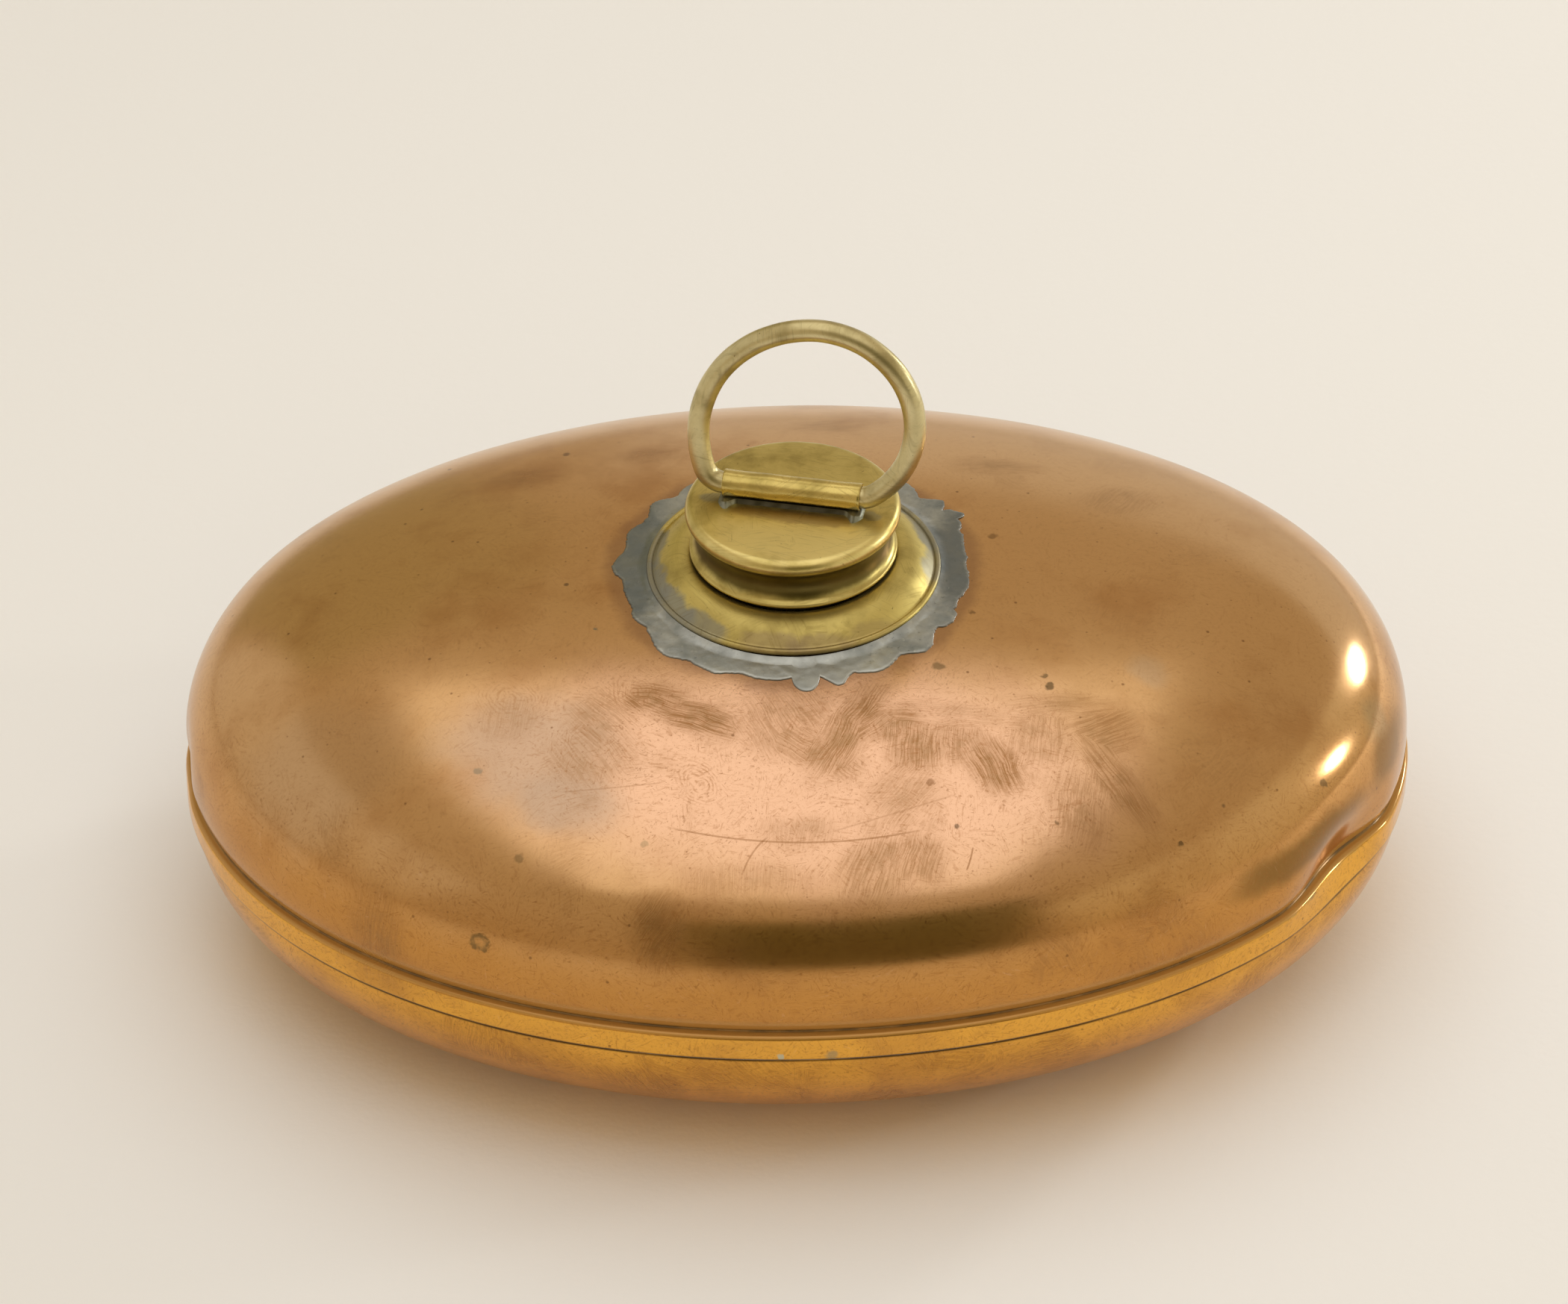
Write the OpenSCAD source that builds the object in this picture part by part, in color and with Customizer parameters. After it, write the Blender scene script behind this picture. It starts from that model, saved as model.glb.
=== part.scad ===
// Copper hot water bottle: two pressed copper shells lapped and soldered round an oval seam, with a
// spun brass neck on the dome, a screw stopper, and a wire ring handle that swings in a sleeve.
// X runs along the bottle, Y across it and Z up. The origin is the middle of the flat base.

/* [Body] */
// Length of the body over the seam band
body_len = 280; // [230:1:340]
// Width of the body over the seam band
body_wid = 204; // [165:1:250]
// Height of the top of the dome above the base
dome_top = 94.4; // [78:0.2:115]
// Height of the upper shell's raw edge above the base
seam_z = 38.2; // [30:0.2:46]
// Height of the dome's widest line above the raw edge
wide_rise = 12.6; // [11:0.2:16]
// Thickness of the copper sheet
sheet = 0.8; // [0.6:0.05:1]
// Share of the oval that the flat base takes
base_share = 0.55; // [0.4:0.01:0.65]
// How far the dome's shoulder keeps its width towards the two ends
shoulder = 1.3; // [0.8:0.05:1.4]

/* [Seam] */
// Height of the upper shell's skirt, from its raw edge to the ledge over it
band_h = 6.5; // [5:0.1:8]
// Width of the ledge between the skirt and the dome's wall
ledge_w = 2.4; // [2:0.1:3]
// Radius of the ledge's rounded crest
crest_r = 1.2; // [1:0.05:1.6]
// Thickness of the solder between the skirt and the lower shell
film = 0.15; // [0.1:0.01:0.3]
// Height that the solder fills, measured up from the raw edge
film_h = 4.2; // [3:0.1:4.5]
// Height of the solder's fillet under the raw edge
seam_fillet = 0.75; // [0.5:0.05:1.2]

/* [Dents] */
// Place of the front dent round the oval, in degrees
dent_at = -29; // [-60:1:-10]
// Half the angle that the front dent takes
dent_half = 12.5; // [8:0.5:18]
// Depth of the front dent
dent_deep = 4; // [0:0.1:4.5]
// Place of the small crease at the left end, in degrees
crease_at = -174; // [-180:1:-160]
// Half the angle that the crease takes
crease_half = 6; // [5:0.5:10]
// Depth of the crease
crease_deep = 1.5; // [0:0.1:2]

/* [Neck] */
// Radius of the collar over its rim bead
rim_r = 32.9; // [31:0.1:36]
// Radius of the rim bead's wire
bead_r = 0.75; // [0.6:0.05:1]
// Height of the collar's crown over the dome
crown_h = 5; // [4.5:0.1:6]
// Radius of the collar's crown line
crown_r = 23.9; // [23.5:0.1:25]
// Radius of the throat inside the collar
throat_r = 21.4; // [21.2:0.1:22]
// Thickness of the spun brass
spun = 0.9; // [0.7:0.05:1]
// Depth of the throat below the dome's top
throat_deep = 5; // [4:0.5:8]
// Middle radius of the solder pool round the collar
pool_r = 40.5; // [38.5:0.5:46]
// Thickness of the solder pool near its edge
pool_t = 0.3; // [0.2:0.05:0.5]

/* [Thread] */
// Pitch of the screw thread
pitch = 3; // [2.5:0.1:4]
// Radius over the stopper's thread
screw_r = 18; // [17:0.1:18.2]
// Depth of the thread
thread_deep = 1.4; // [1:0.1:1.6]
// Width of a thread at its root
thread_root = 1.7; // [1.4:0.05:1.8]
// Width of a thread at its crest
thread_crest = 0.6; // [0.4:0.05:0.7]
// Clearance between the stopper's thread and the socket
thread_gap = 0.3; // [0.25:0.05:0.4]
// Length of the threaded socket
socket_len = 9.7; // [7:0.1:14]
// Radius of the hole through the screw plug
plug_bore_r = 14.6; // [12:0.1:15]

/* [Stopper] */
// Radius over the edge of the stopper's disc
disc_r = 23.95; // [23.5:0.05:26]
// Radius of the rounding round the disc's edge
disc_round = 2.1; // [1.5:0.1:2.5]
// Least radius of the stopper's waist
waist_r = 21; // [20.6:0.1:21.5]
// Radius over the lip at the stopper's foot
lip_r = 23.2; // [22.8:0.1:24]
// Radius of the lip's bead
lip_bead = 0.6; // [0.5:0.05:0.8]
// Height from the lip's foot to the top of the disc
stopper_h = 13.15; // [12:0.1:16]
// Gap between the lip's foot and the collar's crown
lip_gap = 0.6; // [0.4:0.05:1.2]
// Thickness of the sealing washer
washer_t = 2; // [1.5:0.1:2.5]
// Thickness of the plug's flange over the washer
flange_t = 1.7; // [1.2:0.1:2]

/* [Ring handle] */
// Length of the sleeve on the disc
sleeve_len = 30.8; // [26:0.2:37]
// Radius over the sleeve
sleeve_r = 3.2; // [3:0.05:3.4]
// Turn of the sleeve about the stopper's axis, in degrees
sleeve_turn = -12.5; // [-30:0.5:30]
// Place of the sleeve in front of the stopper's axis
sleeve_off = 1.2; // [0:0.1:2]
// Diameter of the ring's wire
wire_d = 4.9; // [4:0.1:5]
// How much more than half the sleeve the ring's round top measures, at the middle of the wire
ring_over = 5.8; // [4.8:0.1:8]
// How far that round would pass below the sleeve
ring_sag = 3.2; // [2.6:0.1:3.9]
// How much wider the ring's left side is curved than its top
ring_slack = 6.3; // [5.4:0.1:7.2]
// Bend radius at the ring's left foot
left_bend = 4.5; // [4:0.1:5.4]
// Bend radius at the ring's right foot
right_bend = 4; // [3.4:0.1:4.8]
// Backward lean of the ring at rest, in degrees
ring_lean = 8; // [0:0.5:15]

/* [Hidden] */

// Points round the oval, points round the turned pieces, and steps in one turn of thread
round_n = 72;
turned_fn = 96;
thread_n = 36;

// Seats between pieces that are soldered together, and between pieces that turn on each other
seat = 0.03;
wire_gap = 0.08;
washer_gap = 0.2;

// Width of the seam between two bends of the ring's wire
bend_seam = 0.02;

// Half sizes of the seam band, and the dome's widest line inside it
half_len = body_len / 2;
half_wid = body_wid / 2;
wall_in = 0.7;
wide_z = seam_z + wide_rise;
lower_in = sheet + film;
crest_z = seam_z + band_h - 0.25;
lap_z = crest_z - crest_r;
film_z = seam_z + film_h;
lower_rim_z = crest_z - sheet - 0.5;

// Share and height of the control points of the dome's profile and of the lower shell's profile
dome_curve = [[0, dome_top], [0.61, dome_top], [1, mix(wide_z, dome_top, 0.71)], [1, wide_z]];
foot_curve = [[wall_in, wide_z], [wall_in, wide_z - 3], [mix(wall_in, ledge_w, 0.4), seam_z + band_h + 1.8],
    [ledge_w, seam_z + band_h]];
pan_curve = [[1, seam_z - seam_fillet], [1, seam_z * 0.51], [mix(base_share, 1, 0.54), 0], [base_share, 0]];

// The dents are deepest just over the ledge and fade up and down the wall
dent_z = seam_z + 9.3;
dent_fade = 9.6;
crease_z = wide_z;
crease_fade = 6;

function mix(a, b, t) = a + (b - a) * t;
function unit(v) = v / norm(v);
function bezier(p, t) = pow(1 - t, 3) * p[0] + 3 * pow(1 - t, 2) * t * p[1] + 3 * (1 - t) * t * t * p[2]
    + pow(t, 3) * p[3];
function bump(x) = abs(x) < 1 ? pow(cos(90 * x), 2) : 0;
function fade(z, middle, reach) = exp(-pow((z - middle) / reach, 2));

// Depth of both dents at angle t round the oval and height z
function dent(t, z) = dent_deep * bump((t - dent_at) / dent_half) * fade(z, dent_z, dent_fade)
    + crease_deep * bump((t - crease_at) / crease_half) * fade(z, crease_z, crease_fade);

// Half sizes of the oval that lies a share s of the way out to an oval of half sizes a and b
function oval_at(s, a, b) = [s * a + shoulder * (a - b) * (1 - s) * pow(s, 1.5), s * b];
function dome_oval(s) = oval_at(s, half_len - wall_in, half_wid - wall_in);
function pan_oval(s) = oval_at(s, half_len - lower_in, half_wid - lower_in);
function band_oval(off) = [half_len - off, half_wid - off];

// A ring of points: an oval of half sizes o at height z, pushed in where the dents are
function angle_of(i) = -180 + 360 * i / round_n;
function inward(t, o) = unit([cos(t) / o[0], sin(t) / o[1]]);
function oval_point(t, o, z) = let (p = [o[0] * cos(t), o[1] * sin(t)] - dent(t, z) * inward(t, o)) [p[0], p[1], z];
function oval_ring(o, z) = [for (i = [0:round_n - 1]) oval_point(angle_of(i), o, z)];

// Height of the dome over a point: its share of the oval first, then the step along the profile
function outside(x, y, s) = let (o = dome_oval(s)) pow(x / o[0], 2) + pow(y / o[1], 2) > 1;
function find_share(x, y, low, high, n) = n == 0 ? (low + high) / 2
    : let (s = (low + high) / 2) outside(x, y, s) ? find_share(x, y, s, high, n - 1) : find_share(x, y, low, s, n - 1);
function find_step(s, low, high, n) = n == 0 ? (low + high) / 2
    : let (u = (low + high) / 2) bezier(dome_curve, u)[0] < s ? find_step(s, u, high, n - 1) : find_step(s, low, u, n - 1);
function dome_z(x, y) = bezier(dome_curve, find_step(find_share(x, y, 0.01, 1, 18), 0, 1, 18))[1];
function dome_ring(r, lift) = [for (i = [0:round_n - 1]) let (t = angle_of(i))
    [r * cos(t), r * sin(t), dome_z(r * cos(t), r * sin(t)) + lift]];

// Rings moved in along the surface's normal by a sheet's thickness
function normal_at(rings, j, i) = let (
    n = round_n,
    up = rings[max(j - 1, 0)][i],
    down = rings[min(j + 1, len(rings) - 1)][i],
    left = rings[j][(i + n - 1) % n],
    right = rings[j][(i + 1) % n]) unit(cross(right - left, down - up));
function moved_in(rings, t) = [for (j = [0:len(rings) - 1]) [for (i = [0:round_n - 1])
    rings[j][i] + t * normal_at(rings, j, i)]];
function reversed(v) = [for (j = [len(v) - 1:-1:0]) v[j]];

// Heights that the neck and the stopper are built up from
hole_r = throat_r + spun + 0.1;
rim_z = dome_z(rim_r - bead_r, 0) + seat;
crown_z = rim_z + crown_h;
throat_z = dome_top - throat_deep;
socket_top = crown_z - 1.5;
washer_z = socket_top + washer_gap;
flange_z = washer_z + washer_t;
lip_z = crown_z + lip_gap;
disc_z = lip_z + stopper_h;
plug_core_r = screw_r - thread_deep;
socket_bore_r = screw_r + thread_gap;
socket_z = socket_top - socket_len;
socket_thread_z = socket_z + 0.6;
plug_thread_z = socket_thread_z - pitch / 2;
plug_z = plug_thread_z - 0.3;
sleeve_z = disc_z + sleeve_r + 0.15;

// Places of the ring's four bend centres in its own plane, with the sleeve's axis at height 0
ring_half = sleeve_len / 2 + 0.2;
ring_r = ring_half + ring_over;
side_r = ring_r + ring_slack;
left_c = [-ring_half, left_bend];
right_c = [ring_half, right_bend];
top_c = [ring_half - sqrt(ring_sag * (2 * ring_r - ring_sag - 2 * right_bend)), ring_r - ring_sag];
side_c = meet(left_c, side_r - left_bend, top_c, ring_slack);

// The right-hand meeting point of a circle of radius p round a and a circle of radius q round b
function meet(a, p, b, q) = let (
    d = norm(b - a),
    along = (d * d + p * p - q * q) / (2 * d),
    off = sqrt(p * p - along * along),
    e = (b - a) / d) a + along * e + off * [e[1], -e[0]];
function heading(v) = atan2(v[1], v[0]);
function clockwise(from, to) = (from - to + 720) % 360;

// The upper shell's outer rings run from the neck hole down to the seam's groove
dome_steps = [0.42, 0.5, 0.58, 0.66, 0.74, 0.82, 0.89, 0.95, 1];
dome_rings = [for (u = dome_steps) let (p = bezier(dome_curve, u)) oval_ring(dome_oval(p[0]), p[1])];
foot_rings = [for (u = [0.35, 0.7, 1]) let (p = bezier(foot_curve, u)) oval_ring(band_oval(p[0]), p[1])];
wall_rings = concat([dome_ring(hole_r, 0), dome_ring(rim_r - 2, 0), dome_ring(pool_r + 3, 0)], dome_rings, foot_rings);

// Places of the seam band's corners, as distances in from the band and heights
function crest_point(a) = [crest_r * (1 - cos(a)), lap_z + crest_r * sin(a)];
skirt_outside = [crest_point(90), crest_point(45), [0, lap_z], [0, film_z], [0, seam_z]];
skirt_inside = [[sheet, seam_z], [sheet, film_z], [sheet, lap_z], [crest_r, crest_z - sheet],
    [ledge_w + 0.4 * sheet, crest_z - sheet * 0.8], [ledge_w + 1.1 * sheet, crest_z + 0.1]];
function band_rings(list) = [for (p = list) oval_ring(band_oval(p[0]), p[1])];

// The lower shell's outer rings run from its rim, inside the lap, down to the edge of the base
lower_heights = [lower_rim_z, film_z, seam_z, seam_z - seam_fillet];
pan_steps = [0.12, 0.24, 0.36, 0.48, 0.6, 0.7, 0.8, 0.9, 1];
pan_rings = [for (u = pan_steps) let (p = bezier(pan_curve, u)) oval_ring(pan_oval(p[0]), p[1])];
lower_rings = concat([for (z = lower_heights) oval_ring(band_oval(lower_in), z)], pan_rings);

// Closes a stack of rings into a solid: open stacks get a flat face at each end. Its four-sided cells are
// split along one diagonal or the other, so that facing pieces are split alike
module skin(rings, closed, other = false) {
    n = round_n;
    m = len(rings);
    points = [for (ring = rings) each ring];
    rows = closed ? m : m - 1;
    quads = [for (j = [0:rows - 1], i = [0:n - 1]) let (
        a = j * n + i,
        b = j * n + (i + 1) % n,
        c = ((j + 1) % m) * n + (i + 1) % n,
        d = ((j + 1) % m) * n + i) each other ? [[a, b, d], [b, c, d]] : [[a, b, c], [a, c, d]]];
    ends = closed ? [] : [[for (i = [n - 1:-1:0]) i], [for (i = [0:n - 1]) (m - 1) * n + i]];
    polyhedron(points, concat(quads, ends), convexity = 6);
}

// A screw thread: a ridge wound on radius root_r, reaching out or in to radius tip_r
module thread(root_r, tip_r, low, high) {
    bite = (root_r > tip_r ? 1 : -1) * 0.3;
    turns = (high - low - thread_root) / pitch;
    steps = floor(turns * thread_n);
    function ridge(k) = let (
        a = 360 * k / thread_n,
        z = low + thread_root / 2 + pitch * k / thread_n,
        ease = min(1, k / 9, (steps - k) / 9),
        tip = mix(root_r - bite * 0.2, tip_r, ease),
        corners = [[root_r + bite, -thread_root / 2], [tip, -thread_crest / 2], [tip, thread_crest / 2],
            [root_r + bite, thread_root / 2]])
        [for (c = corners) [c[0] * cos(a), c[0] * sin(a), z + c[1]]];
    points = [for (k = [0:steps]) each ridge(k)];
    flip = root_r > tip_r;
    sides = [for (k = [0:steps - 1], c = [0:3]) let (
        a = 4 * k + c,
        b = 4 * k + (c + 1) % 4) each [[a, b, b + 4], [a, b + 4, a + 4]]];
    ends = [[3, 2, 1, 0], [for (c = [0:3]) 4 * steps + c]];
    faces = concat(sides, ends);
    polyhedron(points, flip ? [for (f = faces) reversed(f)] : faces, convexity = 10);
}

// Tube between two heights
module tube(outer, inner, low, high) {
    translate([0, 0, low]) difference() {
        cylinder(r = outer, h = high - low, $fn = turned_fn);
        translate([0, 0, -1]) cylinder(r = inner, h = high - low + 2, $fn = turned_fn);
    }
}

module upper_shell() {
    color("peru") skin(concat(wall_rings, band_rings(skirt_outside), band_rings(skirt_inside),
        reversed(moved_in(wall_rings, sheet))), true);
}

module lower_shell() {
    inner = moved_in(lower_rings, sheet);
    color("sienna") skin(concat(reversed(inner), lower_rings), false);
}

// Solder film in the lap, with a fillet under the raw edge
module seam_solder() {
    corners = [[lower_in - seat, film_z], [sheet + seat, film_z], [sheet + seat, seam_z - seat],
        [sheet * 0.3, seam_z - seat], [lower_in - seat, seam_z - seam_fillet], [lower_in - seat, seam_z]];
    color("gray") skin(band_rings(corners), true, true);
}

// Spun brass collar: rim bead, convex crown and a throat that passes through the dome
module neck_collar() {
    bend = crown_r - throat_r;
    flare = [[rim_r - bead_r * 1.8, rim_z + 0.95], [rim_r - 4, rim_z + crown_h * 0.7], [rim_r - 6, crown_z],
        [crown_r, crown_z]];
    function turn_in(a, t) = [crown_r - (bend - t) * sin(a), crown_z - bend + (bend - t) * cos(a)];
    upper = [for (u = [0:0.1:1]) bezier(flare, u)];
    mouth = [for (a = [15:15:90]) turn_in(a, 0)];
    under_mouth = [for (a = [90:-15:0]) turn_in(a, spun)];
    under = [for (u = [0.9:-0.1:0]) let (
        p = bezier(flare, u),
        q = unit(bezier(flare, u - 0.01) - bezier(flare, u + 0.01))) p + spun * [q[1], -q[0]]];
    color("darkkhaki") rotate_extrude($fn = turned_fn) union() {
        translate([rim_r - bead_r, rim_z + bead_r]) circle(r = bead_r, $fn = 24);
        polygon(concat(upper, mouth, [[throat_r, throat_z], [throat_r + spun, throat_z]], under_mouth, under));
    }
}

// Threaded ring brazed inside the throat
module neck_socket() {
    color("goldenrod") union() {
        tube(throat_r - seat, socket_bore_r, socket_z, socket_top);
        thread(socket_bore_r, plug_core_r + thread_gap, socket_thread_z, socket_top - 0.3);
    }
}

// Solder pool on the dome, with an uneven edge and a fillet against the collar's bead
module collar_solder() {
    r_in = rim_r + seat;
    function edge_r(t) = pool_r + 1.1 * sin(3 * t + 40) + 0.8 * sin(7 * t) + 0.4 * sin(11 * t + 70);
    function on_dome(t, r, lift) = [r * cos(t), r * sin(t), dome_z(r * cos(t), r * sin(t)) + lift];
    angles = [for (i = [0:round_n - 1]) angle_of(i)];
    rings = [
        [for (t = angles) on_dome(t, r_in, seat)],
        [for (t = angles) [r_in * cos(t), r_in * sin(t), rim_z + bead_r * 0.9]],
        [for (t = angles) on_dome(t, mix(r_in, edge_r(t), 0.4), pool_t * 1.7)],
        [for (t = angles) on_dome(t, edge_r(t) - 0.5, pool_t)],
        [for (t = angles) on_dome(t, edge_r(t), seat + 0.03)]];
    color("slategray") skin(rings, true);
}

// One spun brass shell: flat disc, rounded edge, waist and a beaded lip
module stopper_cap() {
    edge_c = [disc_r - disc_round, disc_z - disc_round];
    lip_c = [lip_r - lip_bead, lip_z + lip_bead];
    side = [lip_c + [0, lip_bead], [waist_r - 0.4, mix(lip_z, disc_z, 0.26)], [waist_r - 0.6, mix(lip_z, disc_z, 0.56)],
        edge_c + disc_round * [cos(-50), sin(-50)]];
    function edge_at(a, t) = edge_c + (disc_round - t) * [cos(a), sin(a)];
    function side_at(u, t) = let (q = unit(bezier(side, u + 0.01) - bezier(side, u - 0.01)))
        bezier(side, u) + t * [-q[1], q[0]];
    outer = concat([for (u = [0:0.1:1]) side_at(u, 0)], [for (a = [-35:15:85]) edge_at(a, 0)], [[edge_c[0], disc_z]]);
    inner = concat([for (u = [0:0.1:1]) side_at(u, spun)], [for (a = [-35:15:85]) edge_at(a, spun)],
        [[edge_c[0], disc_z - spun]]);
    color("darkkhaki") rotate_extrude($fn = turned_fn) union() {
        translate(lip_c) circle(r = lip_bead, $fn = 24);
        polygon(concat(outer, [[0, disc_z], [0, disc_z - spun]], reversed(inner)));
    }
}

// Hollow screw plug brazed under the disc, with a flange that presses the washer
module screw_plug() {
    top = disc_z - spun;
    color("goldenrod") union() {
        tube(plug_core_r, plug_bore_r, plug_z, top);
        tube(socket_bore_r + 2.3, plug_bore_r + 1, flange_z, flange_z + flange_t);
        thread(plug_core_r, screw_r, plug_thread_z, flange_z - 0.6);
    }
}

module sealing_washer() {
    color("dimgray") tube(throat_r - 0.6, screw_r + 0.4, washer_z, flange_z);
}

// Puts a piece that is drawn along X at the sleeve's place on the disc
module at_sleeve() {
    translate([0, -sleeve_off, sleeve_z]) rotate([0, 0, sleeve_turn]) children();
}

module along_x(r, length) {
    rotate([0, 90, 0]) cylinder(r = r, h = length, center = true, $fn = turned_fn);
}

module ring_sleeve() {
    color("khaki") at_sleeve() difference() {
        along_x(sleeve_r, sleeve_len);
        along_x(wire_d / 2 + wire_gap, sleeve_len + 2);
    }
}

// Solder fillets along both sides of the sleeve's foot
module sleeve_solder() {
    foot = sleeve_z - disc_z;
    color("gray") at_sleeve() difference() {
        rotate([90, 0, 90]) linear_extrude(height = sleeve_len - 0.6, center = true)
            polygon([[-4.4, -foot], [4.4, -foot], [3, -foot + 1.3], [-3, -foot + 1.3]]);
        along_x(sleeve_r + 0.01, sleeve_len + 2);
    }
}

// One bend of the ring, clockwise round centre c between two directions, a hair short at both ends
module bend(c, r, from, to) {
    hair = bend_seam / r * 90 / PI;
    translate([c[0], c[1], 0]) rotate([0, 0, to + hair])
        rotate_extrude(angle = clockwise(from, to) - 2 * hair, $fn = turned_fn)
        translate([r, 0]) circle(d = wire_d, $fn = 48);
}

// Core that makes two bends one wire, at direction a on the bend of radius r round centre c
module core(c, r, a) {
    translate([c[0] + r * cos(a), c[1] + r * sin(a), 0]) rotate([0, 0, a]) rotate([90, 0, 0])
        cylinder(r = wire_d / 2 - 0.06, h = 1, center = true, $fn = turned_fn);
}

// Brass wire ring: a straight length through the sleeve and four bends round to the other end
module ring_handle() {
    left_to_side = heading(left_c - side_c);
    side_to_top = heading(top_c - side_c);
    top_to_right = heading(right_c - top_c);
    color("olive") at_sleeve() rotate([90 - ring_lean, 0, 0]) union() {
        along_x(wire_d / 2, 2 * ring_half);
        core(left_c, left_bend, -90);
        bend(left_c, left_bend, -90, left_to_side);
        core(left_c, left_bend, left_to_side);
        bend(side_c, side_r, left_to_side, side_to_top);
        core(side_c, side_r, side_to_top);
        bend(top_c, ring_r, side_to_top, top_to_right);
        core(right_c, right_bend, top_to_right);
        bend(right_c, right_bend, top_to_right, -90);
        core(right_c, right_bend, -90);
    }
}

upper_shell();
lower_shell();
seam_solder();
neck_collar();
neck_socket();
collar_solder();
stopper_cap();
screw_plug();
sealing_washer();
ring_sleeve();
sleeve_solder();
ring_handle();
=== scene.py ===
import math

import bmesh
import bpy
import numpy as np
from mathutils import Matrix, Quaternion, Vector, noise


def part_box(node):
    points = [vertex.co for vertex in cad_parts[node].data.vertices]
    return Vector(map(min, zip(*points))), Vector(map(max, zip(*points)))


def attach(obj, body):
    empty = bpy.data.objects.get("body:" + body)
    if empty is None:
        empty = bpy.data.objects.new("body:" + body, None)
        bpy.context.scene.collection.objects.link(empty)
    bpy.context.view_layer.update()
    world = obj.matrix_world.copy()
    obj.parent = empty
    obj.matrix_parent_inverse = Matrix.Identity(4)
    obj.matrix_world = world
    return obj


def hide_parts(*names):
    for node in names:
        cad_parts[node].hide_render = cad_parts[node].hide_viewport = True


# Copper hot water bottle. Lengths are in millimetres until a piece is finished, and then in metres
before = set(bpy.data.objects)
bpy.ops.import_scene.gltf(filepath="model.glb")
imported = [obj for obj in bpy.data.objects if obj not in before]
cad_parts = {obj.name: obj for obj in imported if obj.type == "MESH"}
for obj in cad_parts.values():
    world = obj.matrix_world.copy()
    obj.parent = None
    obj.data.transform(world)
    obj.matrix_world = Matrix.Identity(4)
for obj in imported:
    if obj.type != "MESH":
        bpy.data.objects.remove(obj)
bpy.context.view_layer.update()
MM = 0.001

# Body: half sizes of the oval over the seam band, and the heights of dome, widest line and raw edge
HALF_LEN, HALF_WID = 140, 102
DOME_TOP, WIDE, SEAM = 94.4, 50.8, 38.2
# The sheet, the fullness of the oval's ends, how far wall and lower shell lie inside the band, and the share
# of the way out that the flat base reaches
SHEET, SHOULDER, WALL_IN, LOWER_IN, BASE_SHARE = 0.8, 1.3, 0.7, 0.95, 0.55
# Curves from the dome's top out to the wall, from the wall to its foot, and from the seam in to the base
DOME = [(0, DOME_TOP), (0.61, DOME_TOP), (1, WIDE + 0.71 * (DOME_TOP - WIDE)), (1, WIDE)]
FOOT = [(WALL_IN, WIDE), (WALL_IN, WIDE - 3), (1.2, 46.5), (2.0, 44.95)]
PAN = [(1, SEAM - 0.75), (1, SEAM * 0.51), (BASE_SHARE + 0.54 * (1 - BASE_SHARE), 0), (BASE_SHARE, 0)]
# The rounded crest of the skirt, and the solder film inside the skirt with its gap to the sheets
CREST, CREST_R = 44.45, 1.2
FILM_TOP, FILM_GAP = 42.4, 0.03
# Where on the dome's curve the rings round the neck end, and a height that marks their points for make_oval
NEAR_NECK, ON_DOME = 0.42, 1000
# Dents in the wall: place round the oval, half the angle, depth, height and reach up and down
DENTS = [(-29, 12.5, 4, 47.5, 9.6), (-174, 6, 1.5, WIDE, 6)]
# Collar: radii of rim, bead, crown and throat, the crown's height over the rim, and the spun sheet
RIM_R, BEAD_R, CROWN_R, THROAT_R = 32.9, 0.75, 23.9, 21.4
CROWN_H, SPUN = 5, 0.9
# Cap: the disc's radius, the round of its edge and its drop, and the radii of waist, lip and lip bead
DISC_R, DISC_ROUND, DISC_DROP, WAIST_R, LIP_R, LIP_BEAD = 23.95, 2.1, 0.45, 21, 23.2, 0.6
# Sleeve: how far it is turned about the stopper's axis, its length, radius and bore
SLEEVE_TURN, SLEEVE_LEN, SLEEVE_R, SLEEVE_BORE = -12.5, 30.8, 3.2, 2.53
# Ring: the wire, its lean at rest, half its straight part, and its four bends in its own plane over the
# sleeve's axis, as centre and radius, with the directions in degrees that they start and end in
WIRE_R, RING_LEAN, RING_HALF = 2.45, 8, 15.6
RING_BENDS = [(-RING_HALF, 4.5, 4.5), (6.370, 11.954, 27.7), (5.544, 18.2, 21.4), (RING_HALF, 4, 4)]
RING_TURNS = [-90, -161.26, 97.53, -54.70, -90]
# Edges that turn by more than this angle stay sharp
SHARP = math.radians(40)

crown_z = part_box("neck_collar")[1].z / MM
rim_z = crown_z - CROWN_H
throat_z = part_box("neck_collar")[0].z / MM
lip_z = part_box("stopper_cap")[0].z / MM
disc_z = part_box("stopper_cap")[1].z / MM
sleeve_low, sleeve_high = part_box("ring_sleeve")
sleeve_mid = (sleeve_low + sleeve_high) / 2 / MM


def mix(a, b, t):
    """The value a share t of the way from a to b."""
    return a + (b - a) * t


def spread(low, high, count):
    """Even steps from low to high, both ends included."""
    return [mix(low, high, i / (count - 1)) for i in range(count)]


def bezier(p, t):
    """Point of a curve with four control points."""
    weights = ((1 - t) ** 3, 3 * (1 - t) ** 2 * t, 3 * (1 - t) * t * t, t ** 3)
    return tuple(sum(w * q[k] for w, q in zip(weights, p)) for k in (0, 1))


def arc(x, z, radius, start, end, count):
    """Points round a centre, between two directions in degrees."""
    angles = [math.radians(a) for a in spread(start, end, count)]
    return [(x + radius * math.cos(a), z + radius * math.sin(a)) for a in angles]


def offset(points, depth):
    """A profile moved to its right by a depth."""
    moved = []
    for i, (x, z) in enumerate(points):
        before, after = points[max(i - 1, 0)], points[min(i + 1, len(points) - 1)]
        dx, dz = after[0] - before[0], after[1] - before[1]
        size = math.hypot(dx, dz)
        moved.append((x + depth * dz / size, z - depth * dx / size))
    return moved


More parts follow.
